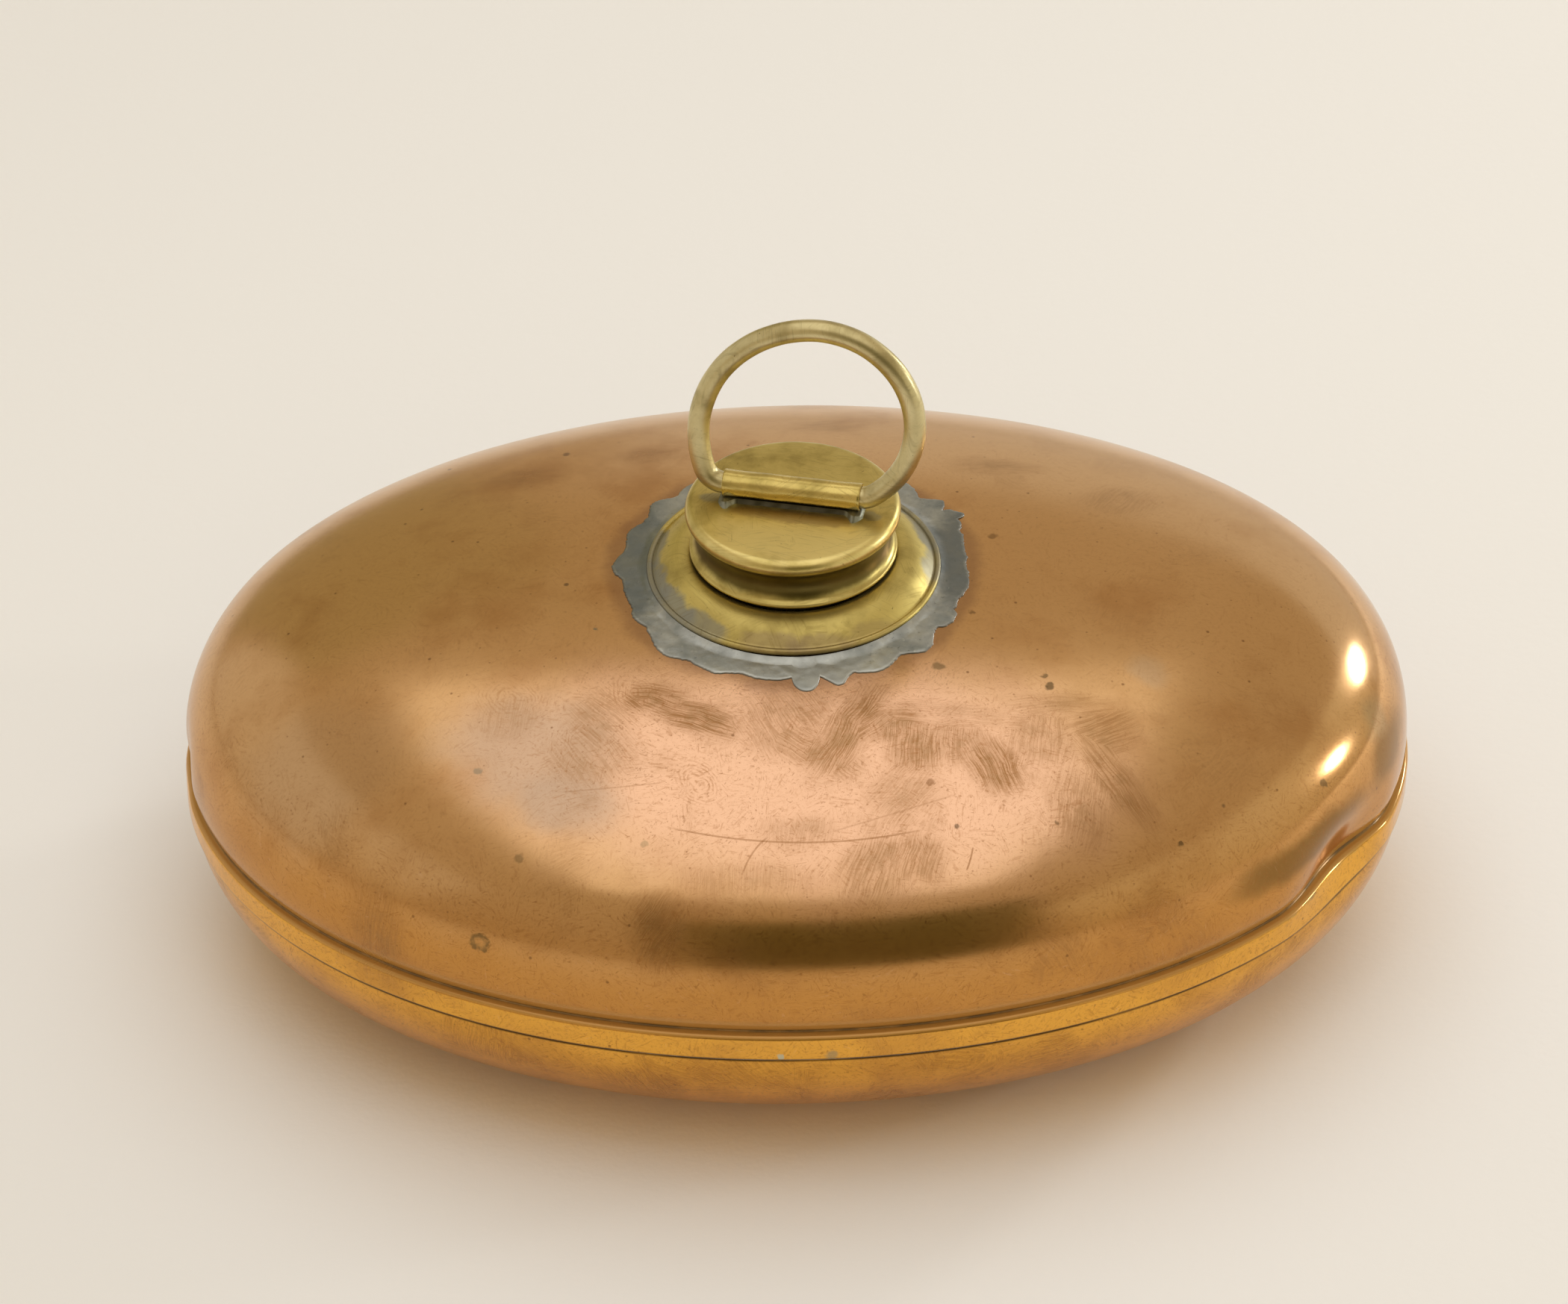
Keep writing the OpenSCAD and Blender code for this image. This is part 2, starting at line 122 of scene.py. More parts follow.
def bump(x):
    """A smooth hump, 1 in the middle and 0 from one unit away."""
    return math.cos(math.pi / 2 * x) ** 2 if abs(x) < 1 else 0


def rise(value, low, high):
    """A value's smooth rise from low to high, as a share."""
    share = min(1, max(0, (value - low) / (high - low)))
    return share * share * (3 - 2 * share)


def oval(share, a, b):
    """Half sizes of the oval that lies a share of the way out."""
    return share * a + SHOULDER * (a - b) * (1 - share) * share ** 1.5, share * b


def dome_oval(share):
    """Half sizes of one of the dome's ovals."""
    return oval(share, HALF_LEN - WALL_IN, HALF_WID - WALL_IN)


dome_line = np.array([bezier(DOME, t) for t in spread(0, 1, 1200)])


def dome_z(x, y):
    """Height of the dome over a point."""
    low, high = 0.01, 1
    for _ in range(18):
        share = (low + high) / 2
        a, b = dome_oval(share)
        low, high = (share, high) if (x / a) ** 2 + (y / b) ** 2 > 1 else (low, share)
    return float(np.interp(low, dome_line[:, 0], dome_line[:, 1]))


def dented(v, t, a, b):
    """Pushes a point of the oval in where the dents are."""
    depth = 0
    for place, half, deep, height, reach in DENTS:
        depth += deep * bump((math.degrees(t) - place) / half) * math.exp(-((v.z - height) / reach) ** 2)
    inward = Vector((math.cos(t) / a, math.sin(t) / b, 0)).normalized()
    return v - depth * inward


def closed_line(bm, points):
    """Vertices at the points, with edges between them all the way round."""
    verts = [bm.verts.new(p) for p in points]
    return verts + [bm.edges.new(pair) for pair in zip(verts, verts[1:] + verts[:1])]


def turned(profile, steps):
    """A solid spun about Z from a closed profile. Its points are (radius, height) or (half length, half
    width, height), and make_oval uses the half width."""
    bm = bmesh.new()
    width = bm.verts.layers.float.new("half_width")
    line = closed_line(bm, [(p[0], 0, p[-1]) for p in profile])
    for v, p in zip(line, profile):
        v[width] = p[1]
    bmesh.ops.spin(bm, geom=line, cent=(0, 0, 0), axis=(0, 0, 1), angle=math.tau, steps=steps, use_merge=True)
    bmesh.ops.remove_doubles(bm, verts=bm.verts, dist=1e-4)
    bmesh.ops.recalc_face_normals(bm, faces=bm.faces)
    return bm


def make_oval(bm):
    """Turns a round shell oval, lays the points at the height ON_DOME on the dome, and dents the wall."""
    width = bm.verts.layers.float["half_width"]
    for v in bm.verts:
        a, t = math.hypot(v.co.x, v.co.y), math.atan2(v.co.y, v.co.x)
        if a < 1e-3:
            continue
        v.co.x, v.co.y = a * math.cos(t), v[width] * math.sin(t)
        if v.co.z > ON_DOME / 2:
            v.co.z += dome_z(v.co.x, v.co.y) - ON_DOME
        v.co = dented(v.co, t, a, v[width])
    bm.normal_update()


def finish_piece(name, bm, body, node):
    """Makes a piece of a mesh, in metres, that rides on a body and stands for a construction node."""
    bmesh.ops.scale(bm, vec=(MM, MM, MM), verts=bm.verts)
    bmesh.ops.recalc_face_normals(bm, faces=bm.faces)
    bm.normal_update()
    for face in bm.faces:
        face.smooth = True
    for edge in bm.edges:
        edge.smooth = edge.calc_face_angle(0) < SHARP
    mesh = bpy.data.meshes.new(name)
    bm.to_mesh(mesh)
    bm.free()
    piece = bpy.data.objects.new(name, mesh)
    bpy.context.scene.collection.objects.link(piece)
    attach(piece, body)
    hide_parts(node)
    return piece


def banded(points):
    """Profile points given as (distance in from the seam band, height), as half sizes and height."""
    return [(HALF_LEN - off, HALF_WID - off, z) for off, z in points]


# Upper shell: from the neck hole out over the dome, down the wall, over the ledge and down the skirt
hole_r, first = THROAT_R + SPUN + 0.1, dome_oval(bezier(DOME, NEAR_NECK)[0])
neck_rings = [(mix(hole_r, first[0], k), mix(hole_r, first[1], k)) for k in spread(0, 1, 20)[:-1]]
outer = [(*r, ON_DOME) for r in neck_rings]
for t in spread(NEAR_NECK, 1, 52):
    share, z = bezier(DOME, t)
    outer.append((*dome_oval(share), z))
outer += banded([bezier(FOOT, t) for t in spread(0.08, 1, 12)])
crest_c = CREST - CREST_R
crest = [(CREST_R - x, z) for x, z in arc(0, crest_c, CREST_R, 90, 0, 9)]
skirt = banded([(1.9, CREST + 0.22), (1.62, CREST + 0.06)] + crest)
skirt += banded([(0, z) for z in spread(crest_c - 0.6, SEAM + 0.5, 6)])
skirt += banded([(0.02, SEAM + 0.2), (0.06, SEAM + 0.07), (0.15, SEAM), (SHEET - 0.1, SEAM),
                 (SHEET, SEAM + 0.1)])
skirt += banded([(SHEET, FILM_TOP), (SHEET, crest_c), (CREST_R, CREST - SHEET)])
skirt += banded([(2.72, CREST - 0.64), (3.28, CREST + 0.1)])
wall = [(x, z) for x, _, z in outer[len(neck_rings):]]
inside = [(x, x - (p[0] - p[1]), z) for (x, z), p in zip(offset(wall, SHEET), outer[len(neck_rings):])]
inside = inside[::-4][1:] + [(*r, ON_DOME - SHEET) for r in neck_rings[::-3]]
bm = turned(outer + skirt + inside, 360)
make_oval(bm)
# Hand planishing leaves the dome a little wavy, away from the collar and the seam
for v in bm.verts:
    reach = math.hypot(v.co.x, v.co.y)
    loose = rise(reach, 45, 95) * rise(v.co.z, 47, 58)
    v.co -= v.normal * loose * 0.2 * (1 + noise.noise(v.co / 34)) / 2
upper_shell = finish_piece("dome_shell", bm, "bottle", "upper_shell")

# Lower shell: from its rim inside the lap down to the base, and back up inside
lower = banded([(LOWER_IN, z) for z in (CREST - SHEET - 0.5, FILM_TOP, SEAM, SEAM - 0.6)])
for t in spread(0, 1, 48):
    share, z = bezier(PAN, t)
    lower.append((*oval(share, HALF_LEN - LOWER_IN, HALF_WID - LOWER_IN), z))
base_oval = lower[-1]
lower += [(base_oval[0] * k, base_oval[1] * k, 0) for k in (0.9, 0.6, 0.3)] + [(0, 0, 0)]
pan_wall = [(x, z) for x, _, z in lower[:-4]]
pan_inside = [(x, x - (p[0] - p[1]), z) for (x, z), p in zip(offset(pan_wall, SHEET), lower)][::-4]
bm = turned(lower + [(0, 0, SHEET)] + pan_inside, 360)
make_oval(bm)
# The pan is a little wavy too, away from the seam and the base
for v in bm.verts:
    loose = rise(v.co.z, 36, 26) * rise(v.co.z, 3, 11)
    v.co -= v.normal * loose * 0.14 * (1 + noise.noise(v.co / 30 + Vector((7, 3, 1)))) / 2
lower_shell = finish_piece("pan_shell", bm, "bottle", "lower_shell")

# Solder in the lap: a film inside the skirt and an uneven fillet under its raw edge
film_in, film_out, film_low = LOWER_IN - FILM_GAP, SHEET + FILM_GAP, SEAM - FILM_GAP
film = [(film_in, FILM_TOP), (film_out, FILM_TOP), (film_out, film_low), (0.3, film_low), (0.42, SEAM - 0.2),
        (0.62, SEAM - 0.42), (0.84, SEAM - 0.62), (film_in, SEAM - 0.75)]
bm = turned(banded(film), 720)
make_oval(bm)
for v in bm.verts:
    if SEAM - 0.7 < v.co.z < SEAM - 0.1:
        v.co -= v.normal * 0.12 * (1 + noise.noise(v.co / 1.7))
seam_solder = finish_piece("seam_solder_bead", bm, "bottle", "seam_solder")

# Collar: rim bead, flare, crown, mouth and throat
flare = [(RIM_R - 1.8 * BEAD_R, rim_z + 0.95), (RIM_R - 4, rim_z + 0.7 * CROWN_H), (RIM_R - 6, crown_z),
         (CROWN_R, crown_z)]
mouth_r = CROWN_R - THROAT_R
collar_top = [bezier(flare, t) for t in spread(0.03, 1, 28)]
collar_top += arc(CROWN_R, crown_z - mouth_r, mouth_r, 95, 180, 10)[1:]
collar_top += [(THROAT_R, throat_z + 0.2), (THROAT_R + 0.2, throat_z)]
collar_under = [(THROAT_R + SPUN - 0.1, throat_z), (THROAT_R + SPUN, throat_z + 0.1)]
collar_under += arc(CROWN_R, crown_z - mouth_r, mouth_r - SPUN, 180, 95, 6)
collar_under += offset([bezier(flare, t) for t in spread(1, 0.12, 12)], SPUN)
bead = arc(RIM_R - BEAD_R, rim_z + BEAD_R, BEAD_R, 205, 510, 26)
bm = turned(collar_under + bead + collar_top, 216)
collar = finish_piece("spun_collar", bm, "bottle", "neck_collar")

# Solder pool: the radius that it reaches everywhere, the radius that it is spun at before it is laid on the
# dome, and the angle, half width in degrees and reach of each place where it ran further out
POOL_R, POOL_SPIN = 38.3, 100
LOBES = [(-153, 7, 0.9), (-135, 15, 2.9), (-118, 11, 2.0), (-100, 12, 1.0), (-87, 4.4, 4.2),
         (-77, 6.4, 3.4), (-63, 12, 2.4), (-46, 10, 3.1), (-30, 5, 1.8), (-10, 9, 1.0), (16, 9, 1.0),
         (24, 7, 2.6), (28.4, 3.1, 3.6), (36, 7, 4.0), (53, 15, 3.6), (90, 25, 1.6), (124, 11, 2.6),
         (140, 9, 2.6), (158, 7, 1.2), (177, 9, 2.0)]


def pool_edge(t):
    """Radius of the pool's ragged edge."""
    angle = math.degrees(t)
    reach = POOL_R
    for place, half, far in LOBES:
        x = ((angle - place + 180) % 360 - 180) / half
        blunt = half < 5.5 and abs(x) < 1
        reach += far * (math.sqrt(1 - x * x) if blunt else bump(x))
    round_it = Vector((math.cos(t), math.sin(t), 0)) * 40
    # Rounded splashes with sharp notches between them, in four sizes, calmest at the front and back
    ragged = 0.4 + 0.9 * abs(math.cos(t))
    splashes = ((0.6, 8), (0.5, 3.2), (0.4, 1.2), (0.26, 0.6))
    return reach + ragged * sum(size * abs(noise.noise(round_it / wide)) for size, wide in splashes)


# The pool's section: the share of the way from the collar's rim to the edge, and the height over the dome
pool = [(-0.2, -0.06), (0, 0.98), (0.05, 0.84), (0.12, 0.6), (0.2, 0.44)]
pool += [(k, 0.32) for k in spread(0.28, 0.9, 17)] + [(0.94, 0.3), (0.97, 0.24), (0.99, 0.14), (1, -0.08)]
bm = turned([(POOL_SPIN + k, z) for k, z in pool], 900)
near_edge = bm.verts.layers.float.new("near_edge")
for v in bm.verts:
    k, t = math.hypot(v.co.x, v.co.y) - POOL_SPIN, math.atan2(v.co.y, v.co.x)
    edge = pool_edge(t)
    r = mix(RIM_R + 0.02, edge, max(k, 0))
    flat = Vector((r * math.cos(t), r * math.sin(t), 0))
    lumps = 0.06 * noise.noise(flat / 5.5) + 0.05 * noise.noise(flat / 1.8)
    lift = v.co.z + (lumps * min(1, 6 * k) * min(1, 12 * (1 - k)) if 0 < k < 1 else 0)
    v[near_edge] = max(0, 1 - (edge - r) / 2.2)
    v.co = Vector((flat.x, flat.y, dome_z(flat.x, flat.y) + lift))
solder_pool = finish_piece("collar_solder_pool", bm, "bottle", "collar_solder")

# Stopper's cap: disc with a faint crown, rounded edge, waist and beaded lip, open underneath
edge_x, edge_z = DISC_R - DISC_ROUND, disc_z - DISC_ROUND - DISC_DROP
lip_x, lip_c = LIP_R - LIP_BEAD, lip_z + LIP_BEAD
low_a = math.radians(-50)
side = [(lip_x, lip_c + LIP_BEAD), (WAIST_R - 0.4, mix(lip_z, disc_z, 0.26)),
        (WAIST_R - 0.6, mix(lip_z, disc_z, 0.56)),
        (edge_x + DISC_ROUND * math.cos(low_a), edge_z + DISC_ROUND * math.sin(low_a))]
waist = [bezier(side, t) for t in spread(0.06, 1, 26)]
cap_out = arc(lip_x, lip_c, LIP_BEAD, -150, 75, 16) + waist + arc(edge_x, edge_z, DISC_ROUND, -44, 86, 22)
cap_out += [(r, disc_z - DISC_DROP * (r / edge_x) ** 4) for r in spread(edge_x - 0.4, 0, 24)]
cap_in = [(r, disc_z - SPUN - DISC_DROP * (r / edge_x) ** 4) for r in (0, 8, 16, edge_x - 0.4)]
cap_in += arc(edge_x, edge_z, DISC_ROUND - SPUN, 80, -40, 8) + offset(waist[::-3], SPUN)[:-1]
cap_in += [(lip_x - 0.75, lip_c + 0.3)]
bm = turned(cap_out + cap_in, 216)
cap = finish_piece("stopper_disc_cap", bm, "stopper", "stopper_cap")


def at_sleeve(lean=0):
    """Turn and place of what is drawn along X at the sleeve."""
    turn = Matrix.Rotation(math.radians(SLEEVE_TURN), 4, "Z") @ Matrix.Rotation(math.radians(lean), 4, "X")
    return Matrix.Translation(sleeve_mid) @ turn


# Sleeve: a rolled tube with slightly flared ends and a seam where the sheet's edges meet underneath
half = SLEEVE_LEN / 2
tube = [(-half, SLEEVE_R - 0.12)]
tube += [(x, SLEEVE_R - 0.16 + 0.16 * max(0, abs(x) / half * 3.2 - 2.2) ** 2)
         for x in spread(-half + 0.15, half - 0.15, 60)]
tube += [(half, SLEEVE_R - 0.12), (half, SLEEVE_BORE + 0.1), (half - 0.2, SLEEVE_BORE)]
tube += [(x, SLEEVE_BORE) for x in spread(half - 3, -half + 3, 12)]
tube += [(-half + 0.2, SLEEVE_BORE), (-half, SLEEVE_BORE + 0.1)]
bm = bmesh.new()
line = closed_line(bm, [(x, 0, r) for x, r in tube])
bmesh.ops.spin(bm, geom=line, cent=(0, 0, 0), axis=(1, 0, 0), angle=math.tau, steps=96, use_merge=True)
bmesh.ops.remove_doubles(bm, verts=bm.verts, dist=1e-4)
for v in bm.verts:
    r, t = math.hypot(v.co.y, v.co.z), math.atan2(v.co.z, v.co.y)
    if r > SLEEVE_BORE + 0.3:
        wave = noise.noise(Vector((v.co.x / 5, math.cos(t), math.sin(t))))
        slit = math.exp(-((math.degrees(t) + 112) / 3) ** 2)
        k = 1 - 0.028 * (0.5 + wave) - 0.09 * slit
        v.co.y, v.co.z = v.co.y * k, v.co.z * k
bmesh.ops.transform(bm, matrix=at_sleeve(), verts=bm.verts)
sleeve = finish_piece("rolled_sleeve", bm, "stopper", "ring_sleeve")

# Solder along the sleeve's foot: a low fillet, wider and lumpy at its two ends
foot = sleeve_mid.z - disc_z
section = [(-2.6, -0.2), (-2.5, 0.08), (-2.36, 0.3), (-2.2, 0.6), (-2.1, 0.9)]
section += [(-y, z) for y, z in section[::-1]]
bm = bmesh.new()
line = closed_line(bm, [(-half - 0.9, y, z) for y, z in section])
step = (SLEEVE_LEN + 1.8) / 130
bmesh.ops.spin(bm, geom=line, cent=(0, 0, 0), axis=(0, 0, 1), angle=0, dvec=(step, 0, 0), steps=130)
bmesh.ops.holes_fill(bm, edges=[e for e in bm.edges if e.is_boundary])
near_edge = bm.verts.layers.float.new("near_edge")
for v in bm.verts:
    end = max(0, (abs(v.co.x) - half + 2.4) / 3.3)
    swell = 1 + 0.1 * noise.noise(Vector((v.co.x / 2.3, v.co.y, 4))) + 0.3 * bump(end * 1.3 - 0.6)
    close = math.sqrt(max(0, 1 - max(0, end - 0.3) ** 2 * 1.9))
    # Below zero marks the fillet's middle, which gets painted shade under the sleeve
    v[near_edge] = -1 + 1.3 * rise(abs(v.co.x), half - 4, half - 1.5)
    v.co.y *= swell * mix(0.55, 1, close)
    v.co.y *= 1 + 0.6 * rise(abs(v.co.x), half - 3.5, half - 1)
    v.co.z = (v.co.z + 0.2) * swell * close - 0.2
    v.co.z -= foot
bmesh.ops.transform(bm, matrix=at_sleeve(), verts=bm.verts)
sleeve_solder = finish_piece("sleeve_solder_fillet", bm, "stopper", "sleeve_solder")

# Ring: the wire's round section is carried through the sleeve and round four bends
bm = bmesh.new()
bmesh.ops.create_circle(bm, segments=40, radius=WIRE_R)
bmesh.ops.rotate(bm, verts=bm.verts, cent=(0, 0, 0), matrix=Matrix.Rotation(math.pi / 2, 3, "Y"))
bmesh.ops.translate(bm, verts=bm.verts, vec=(RING_HALF, 0, 0))
line = list(bm.verts) + list(bm.edges)
step = -2 * RING_HALF / 24
made = bmesh.ops.spin(bm, geom=line, cent=(0, 0, 0), axis=(0, 1, 0), angle=0, dvec=(step, 0, 0), steps=24)
for (x, z, r), start, end in zip(RING_BENDS, RING_TURNS, RING_TURNS[1:]):
    sweep = (start - end + 720) % 360
    made = bmesh.ops.spin(bm, geom=made["geom_last"], cent=(x, 0, z), axis=(0, 1, 0),
                          angle=math.radians(sweep), steps=max(8, round(sweep * r / 60)))
bmesh.ops.remove_doubles(bm, verts=bm.verts, dist=0.02)
# Handling has left the wire slightly uneven outside the sleeve
for v in bm.verts:
    if v.co.length > 17:
        v.co += v.co.normalized() * 0.05 * noise.noise(v.co / 6)
bmesh.ops.transform(bm, matrix=at_sleeve(-RING_LEAN), verts=bm.verts)
ring = finish_piece("wire_ring", bm, "ring", "ring_handle")


def linear(colour):
    """An sRGB hex colour as linear red, green, blue and alpha."""
    parts = [int(colour[i:i + 2], 16) / 255 for i in (0, 2, 4)]
    return tuple(c / 12.92 if c <= 0.04045 else ((c + 0.055) / 1.055) ** 2.4 for c in parts) + (1,)


def per(mm):
    """The pattern scale that makes a feature so many millimetres across."""
    return 1000 / mm


# Short words for the steps that come again and again: Blender's node, its settings, the sockets that the
# inputs go to in their order, and the output. over takes the colour below, the colour on top and its share.
# rise takes a value, where the rise begins and ends, and the share that it ends with and begins with
WORDS = {
    "times": ("Math", {"operation": "MULTIPLY"}, (0, 1), 0),
    "plus": ("Math", {"operation": "ADD"}, (0, 1), 0),
    "less": ("Math", {"operation": "SUBTRACT"}, (0, 1), 0),
    "most": ("Math", {"operation": "MAXIMUM"}, (0, 1), 0),
    "over": ("Mix", {"data_type": "RGBA"}, (6, 7, 0), 2),
    "rise": ("MapRange", {"interpolation_type": "SMOOTHSTEP"}, (0, 1, 2, 4, 3), 0),
}


def add(tree, kind, *given, out=0, stops=(), **settings):
    """Adds a node and gives one of its outputs. The node is a word of WORDS, given its values, hex colours or
    links in that word's order, or one of Blender's kinds, given a dictionary by socket. stops are a ramp's
    colours."""
    kind, fixed, sockets, out = WORDS.get(kind, (kind, {}, None, out))
    made = tree.nodes.new("ShaderNode" + kind)
    for name, value in {**fixed, **settings}.items():
        setattr(made, name, value)
    inputs = dict(zip(sockets, given)) if sockets else dict(*given)
    for name, value in inputs.items():
        if isinstance(value, bpy.types.NodeSocket):
            tree.links.new(value, made.inputs[name])
        else:
            made.inputs[name].default_value = linear(value) if isinstance(value, str) else value
    for i, (place, colour) in enumerate(stops):
        row = made.color_ramp.elements
        stop = row[i] if i < len(row) else row.new(place)
        stop.position, stop.color = place, linear(colour)
    return made.outputs[out]


def new_material(name, roughness, metallic=1):
    """A material with its tree, its shader and the place on the piece."""
    material = bpy.data.materials.new(name)
    material.use_nodes = True
    tree = material.node_tree
    shader = next(n for n in tree.nodes if n.type == "BSDF_PRINCIPLED")
    shader.inputs["Metallic"].default_value = metallic
    shader.inputs["Roughness"].default_value = roughness
    return material, tree, shader, add(tree, "TexCoord", out="Object")


def bent(tree, place, size, amount):
    """A place moved about by a broad noise, in mm, so that lines curve and patches get ragged edges."""
    drift = add(tree, "TexNoise", {"Vector": place, "Scale": per(size), "Detail": 3}, out="Color")
    drift = add(tree, "VectorMath", {0: drift, 1: (0.5, 0.5, 0.5)}, operation="SUBTRACT")
    drift = add(tree, "VectorMath", {0: drift, 1: (2 * amount * MM,) * 3}, operation="MULTIPLY")
    return add(tree, "VectorMath", {0: place, 1: drift}, operation="ADD")


def patch_turn(tree, place, size):
    """A turn of its own for each patch of the surface."""
    cell = add(tree, "TexVoronoi", {"Vector": place, "Scale": per(size)}, out="Color")
    return add(tree, "VectorMath", {0: cell, 1: (math.tau,) * 3}, operation="MULTIPLY")


def strokes(tree, place, turn, width, length, seed):
    """Rubbing marks from 0 to 1: fine straight lines, their width and length in mm, that run one way where
    the turn is the same."""
    moved = add(tree, "VectorMath", {0: place, 1: (seed * 0.31, seed * 0.17, seed * 0.07)}, operation="ADD")
    along = add(tree, "VectorRotate", {"Vector": moved, "Rotation": turn}, rotation_type="EULER_XYZ")
    long = add(tree, "Mapping", {"Vector": along, "Scale": (per(width), per(length), per(length))})
    return add(tree, "TexNoise", {"Vector": long, "Scale": 1, "Detail": 4, "Roughness": 0.6}, out="Fac")


def cloud(tree, place, size, seed, detail=4):
    """A soft cloudy pattern from 0 to 1, its blotches so many millimetres across."""
    settings = {"Vector": place, "Scale": per(size), "Detail": detail, "Roughness": 0.58, "W": seed}
    return add(tree, "TexNoise", settings, out="Fac", noise_dimensions="4D")


def from_middle(tree, place, middle, halves, angle=0):
    """How far a place lies from the middle of a patch, as a share of the patch's half sizes. The angle turns
    the patch about Z."""
    away = add(tree, "VectorMath", {0: place, 1: tuple(c * MM for c in middle)}, operation="SUBTRACT")
    away = add(tree, "VectorRotate", {"Vector": away, "Angle": math.radians(-angle)}, rotation_type="Z_AXIS")
    away = add(tree, "VectorMath", {0: away, 1: tuple(per(h) for h in halves)}, operation="MULTIPLY")
    return add(tree, "VectorMath", {0: away}, out="Value", operation="LENGTH")


# Half sizes that leave a direction out of a distance, and that give it in metres
ENDLESS, METRE = 1e6, 1000

# Patches that hands have rubbed: middle, half sizes, the patch's angle, the way its strokes run, strength
RUBS = [((-31, -43, 91), (9, 5), -8, -12, 1), ((-22, -49, 90), (13, 5), -22, -26, 1),
        ((-2, -51, 91), (12, 12), 0, -64, 0.6), ((5, -60, 88), (11, 6), -30, -38, 0.8),
        ((11, -53, 90), (17, 6), 58, 62, 0.95), ((21, -52, 90), (8, 6), 30, 38, 0.8),
        ((25, -58, 89), (8, 9), 0, 84, 0.8), ((34, -57, 88), (9, 7), 0, 88, 0.65),
        ((42, -62, 86), (9, 7), -40, -66, 1), ((53, -54, 87), (10, 10), 0, 80, 0.55),
        ((66, -52, 86), (9, 8), 20, 30, 0.7), ((68, -63, 82), (15, 5), -50, -52, 0.8),
        ((60, -70, 81), (8, 11), 10, 78, 0.6), ((22, -70, 85), (9, 7), 10, 50, 0.45),
        ((0, -78, 82), (10, 4), 0, 80, 0.4), ((17, -85, 78), (11, 7), 20, 64, 0.7),
        ((25, -83, 79), (7, 6), 0, 70, 0.7), ((57, -45, 89), (14, 4), 6, 8, 0.45),
        ((34, -49, 90), (18, 4), -6, -4, 0.3), ((-42, -48, 90), (9, 10), 0, -48, 0.5),
        ((-44, -58, 88), (12, 9), 0, -54, 0.45), ((-63, -45, 88), (9, 7), 0, 82, 0.3),
        ((-12, -87, 77), (17, 4), 0, 86, 0.35), ((-31, -93, 68), (7, 7), 0, 40, 0.7),
        ((9, 63, 88), (12, 5), 5, 8, 0.4), ((-33, 50, 90), (9, 5), 0, 10, 0.45),
        ((-62, 43, 89), (11, 6), 0, -12, 0.4), ((47, 42, 90), (12, 5), 0, 4, 0.4),
        ((75, 29, 89), (11, 7), 10, 60, 0.35), ((-92, -76, 53), (8, 9), 0, 30, 0.6)]
# Hazes, and painted dark reflections over the right dent and along the right end: middle, half sizes, the
# patch's angle, colour and strength
HAZES_AND_PAINTED_REFLECTIONS = [((-57, -55, 86), (27, 20, 20), -20, "C4A890", 0.75),
         ((-50, -68, 84), (17, 9, 20), -14, "B8A08C", 0.5),
         ((-102, -46, 74), (28, 20, 24), 0, "CDA880", 0.6), ((77, -33, 88), (5, 6, 9), 0, "C8AE90", 0.5),
         ((128, -26, 68), (5, 8, 6), 0, "A99878", 0.5),
         # Painted dark reflections: the dent's shape and the right end mirror the dark surroundings here
         ((112, -62, 58.5), (30, 13, 5.4), 47, "7E5E30", 0.8),
         ((132, -28, 61), (9, 18, 7), 10, "866638", 0.75),
         ((115, -56, 45), (26, 7, 1.7), 48, "8E8A70", 0.75),
         ((-135, -14, 45), (10, 20, 1.7), 0, "8E8A70", 0.6)]
# Spots: middle, radius, colour and strength
SPOTS = [((31, -35, 92), 1.5, "7A6648", 0.65), ((54, -37, 91), 0.9, "6E5A3E", 0.7),
         ((55, -40, 90), 1.1, "5C4A30", 0.75), ((115, -49, 69), 1.2, "5A4A36", 0.6),
         ((-44, -20, 93), 0.7, "8E8878", 0.9), ((82, -73, 72), 0.9, "54422A", 0.7),
         ((-60, -78, 76), 1.1, "6E5F44", 0.45), ((-69, -58, 84), 1.1, "8A8270", 0.6),
         ((28, -67, 86), 1.1, "8A5C34", 0.6), ((-33, -79, 80), 0.9, "A08A68", 0.5),
         ((55, -74, 80), 0.7, "5E4A2C", 0.6), ((-52, 54, 87), 1.2, "7A5436", 0.7),
         ((45, 11, 93), 1.2, "80603C", 0.6), ((39, -17, 93), 0.8, "74583A", 0.6),
         ((-65.4, -89.2, 60), 0.7, "7A6240", 0.6), ((-5, -102, 39.3), 0.9, "C0BEA4", 0.9),
         ((6, -102, 39.4), 1.5, "8E8A70", 0.6)]
# Scratches, each part of a wide circle: the circle's middle and radius, the scratch's middle, half its length
# and its strength
SCRATCHES = [((2, 20), 100.6, (-1, -80.6, 80.5), 27, 0.5),
             ((1.8, -91.8), 15.2, (-9.9, -82.8, 79.8), 5, 0.45), ((-90, 260), 352, (20, -74, 84), 14, 0.25),
             ((20.5, -77.4), 16.5, (36, -82.9, 77.5), 2.6, 0.6),
             ((200, -200), 170, (66, -95, 70), 12, 0.35), ((-40, 180), 246, (-40, -66, 85), 11, 0.25)]
# Finger marks: middle, half sizes and strength
PRINTS = [((-21.6, -66, 86.1), (6, 8, 9), 0.5), ((-36, -41, 91), (8, 6, 9), 0.4),
          ((-62, -40, 88), (10, 6, 9), 0.3)]
# Specks and pits: their spacing, their radius as a share of it, how rare they are, colour and strength
SPECKS = [(15, 0.032, 0.6, "6A5440", 0.7), (6, 0.05, 0.5, "7C5430", 0.65), (2.8, 0.07, 0.55, "8A5C34", 0.5)]


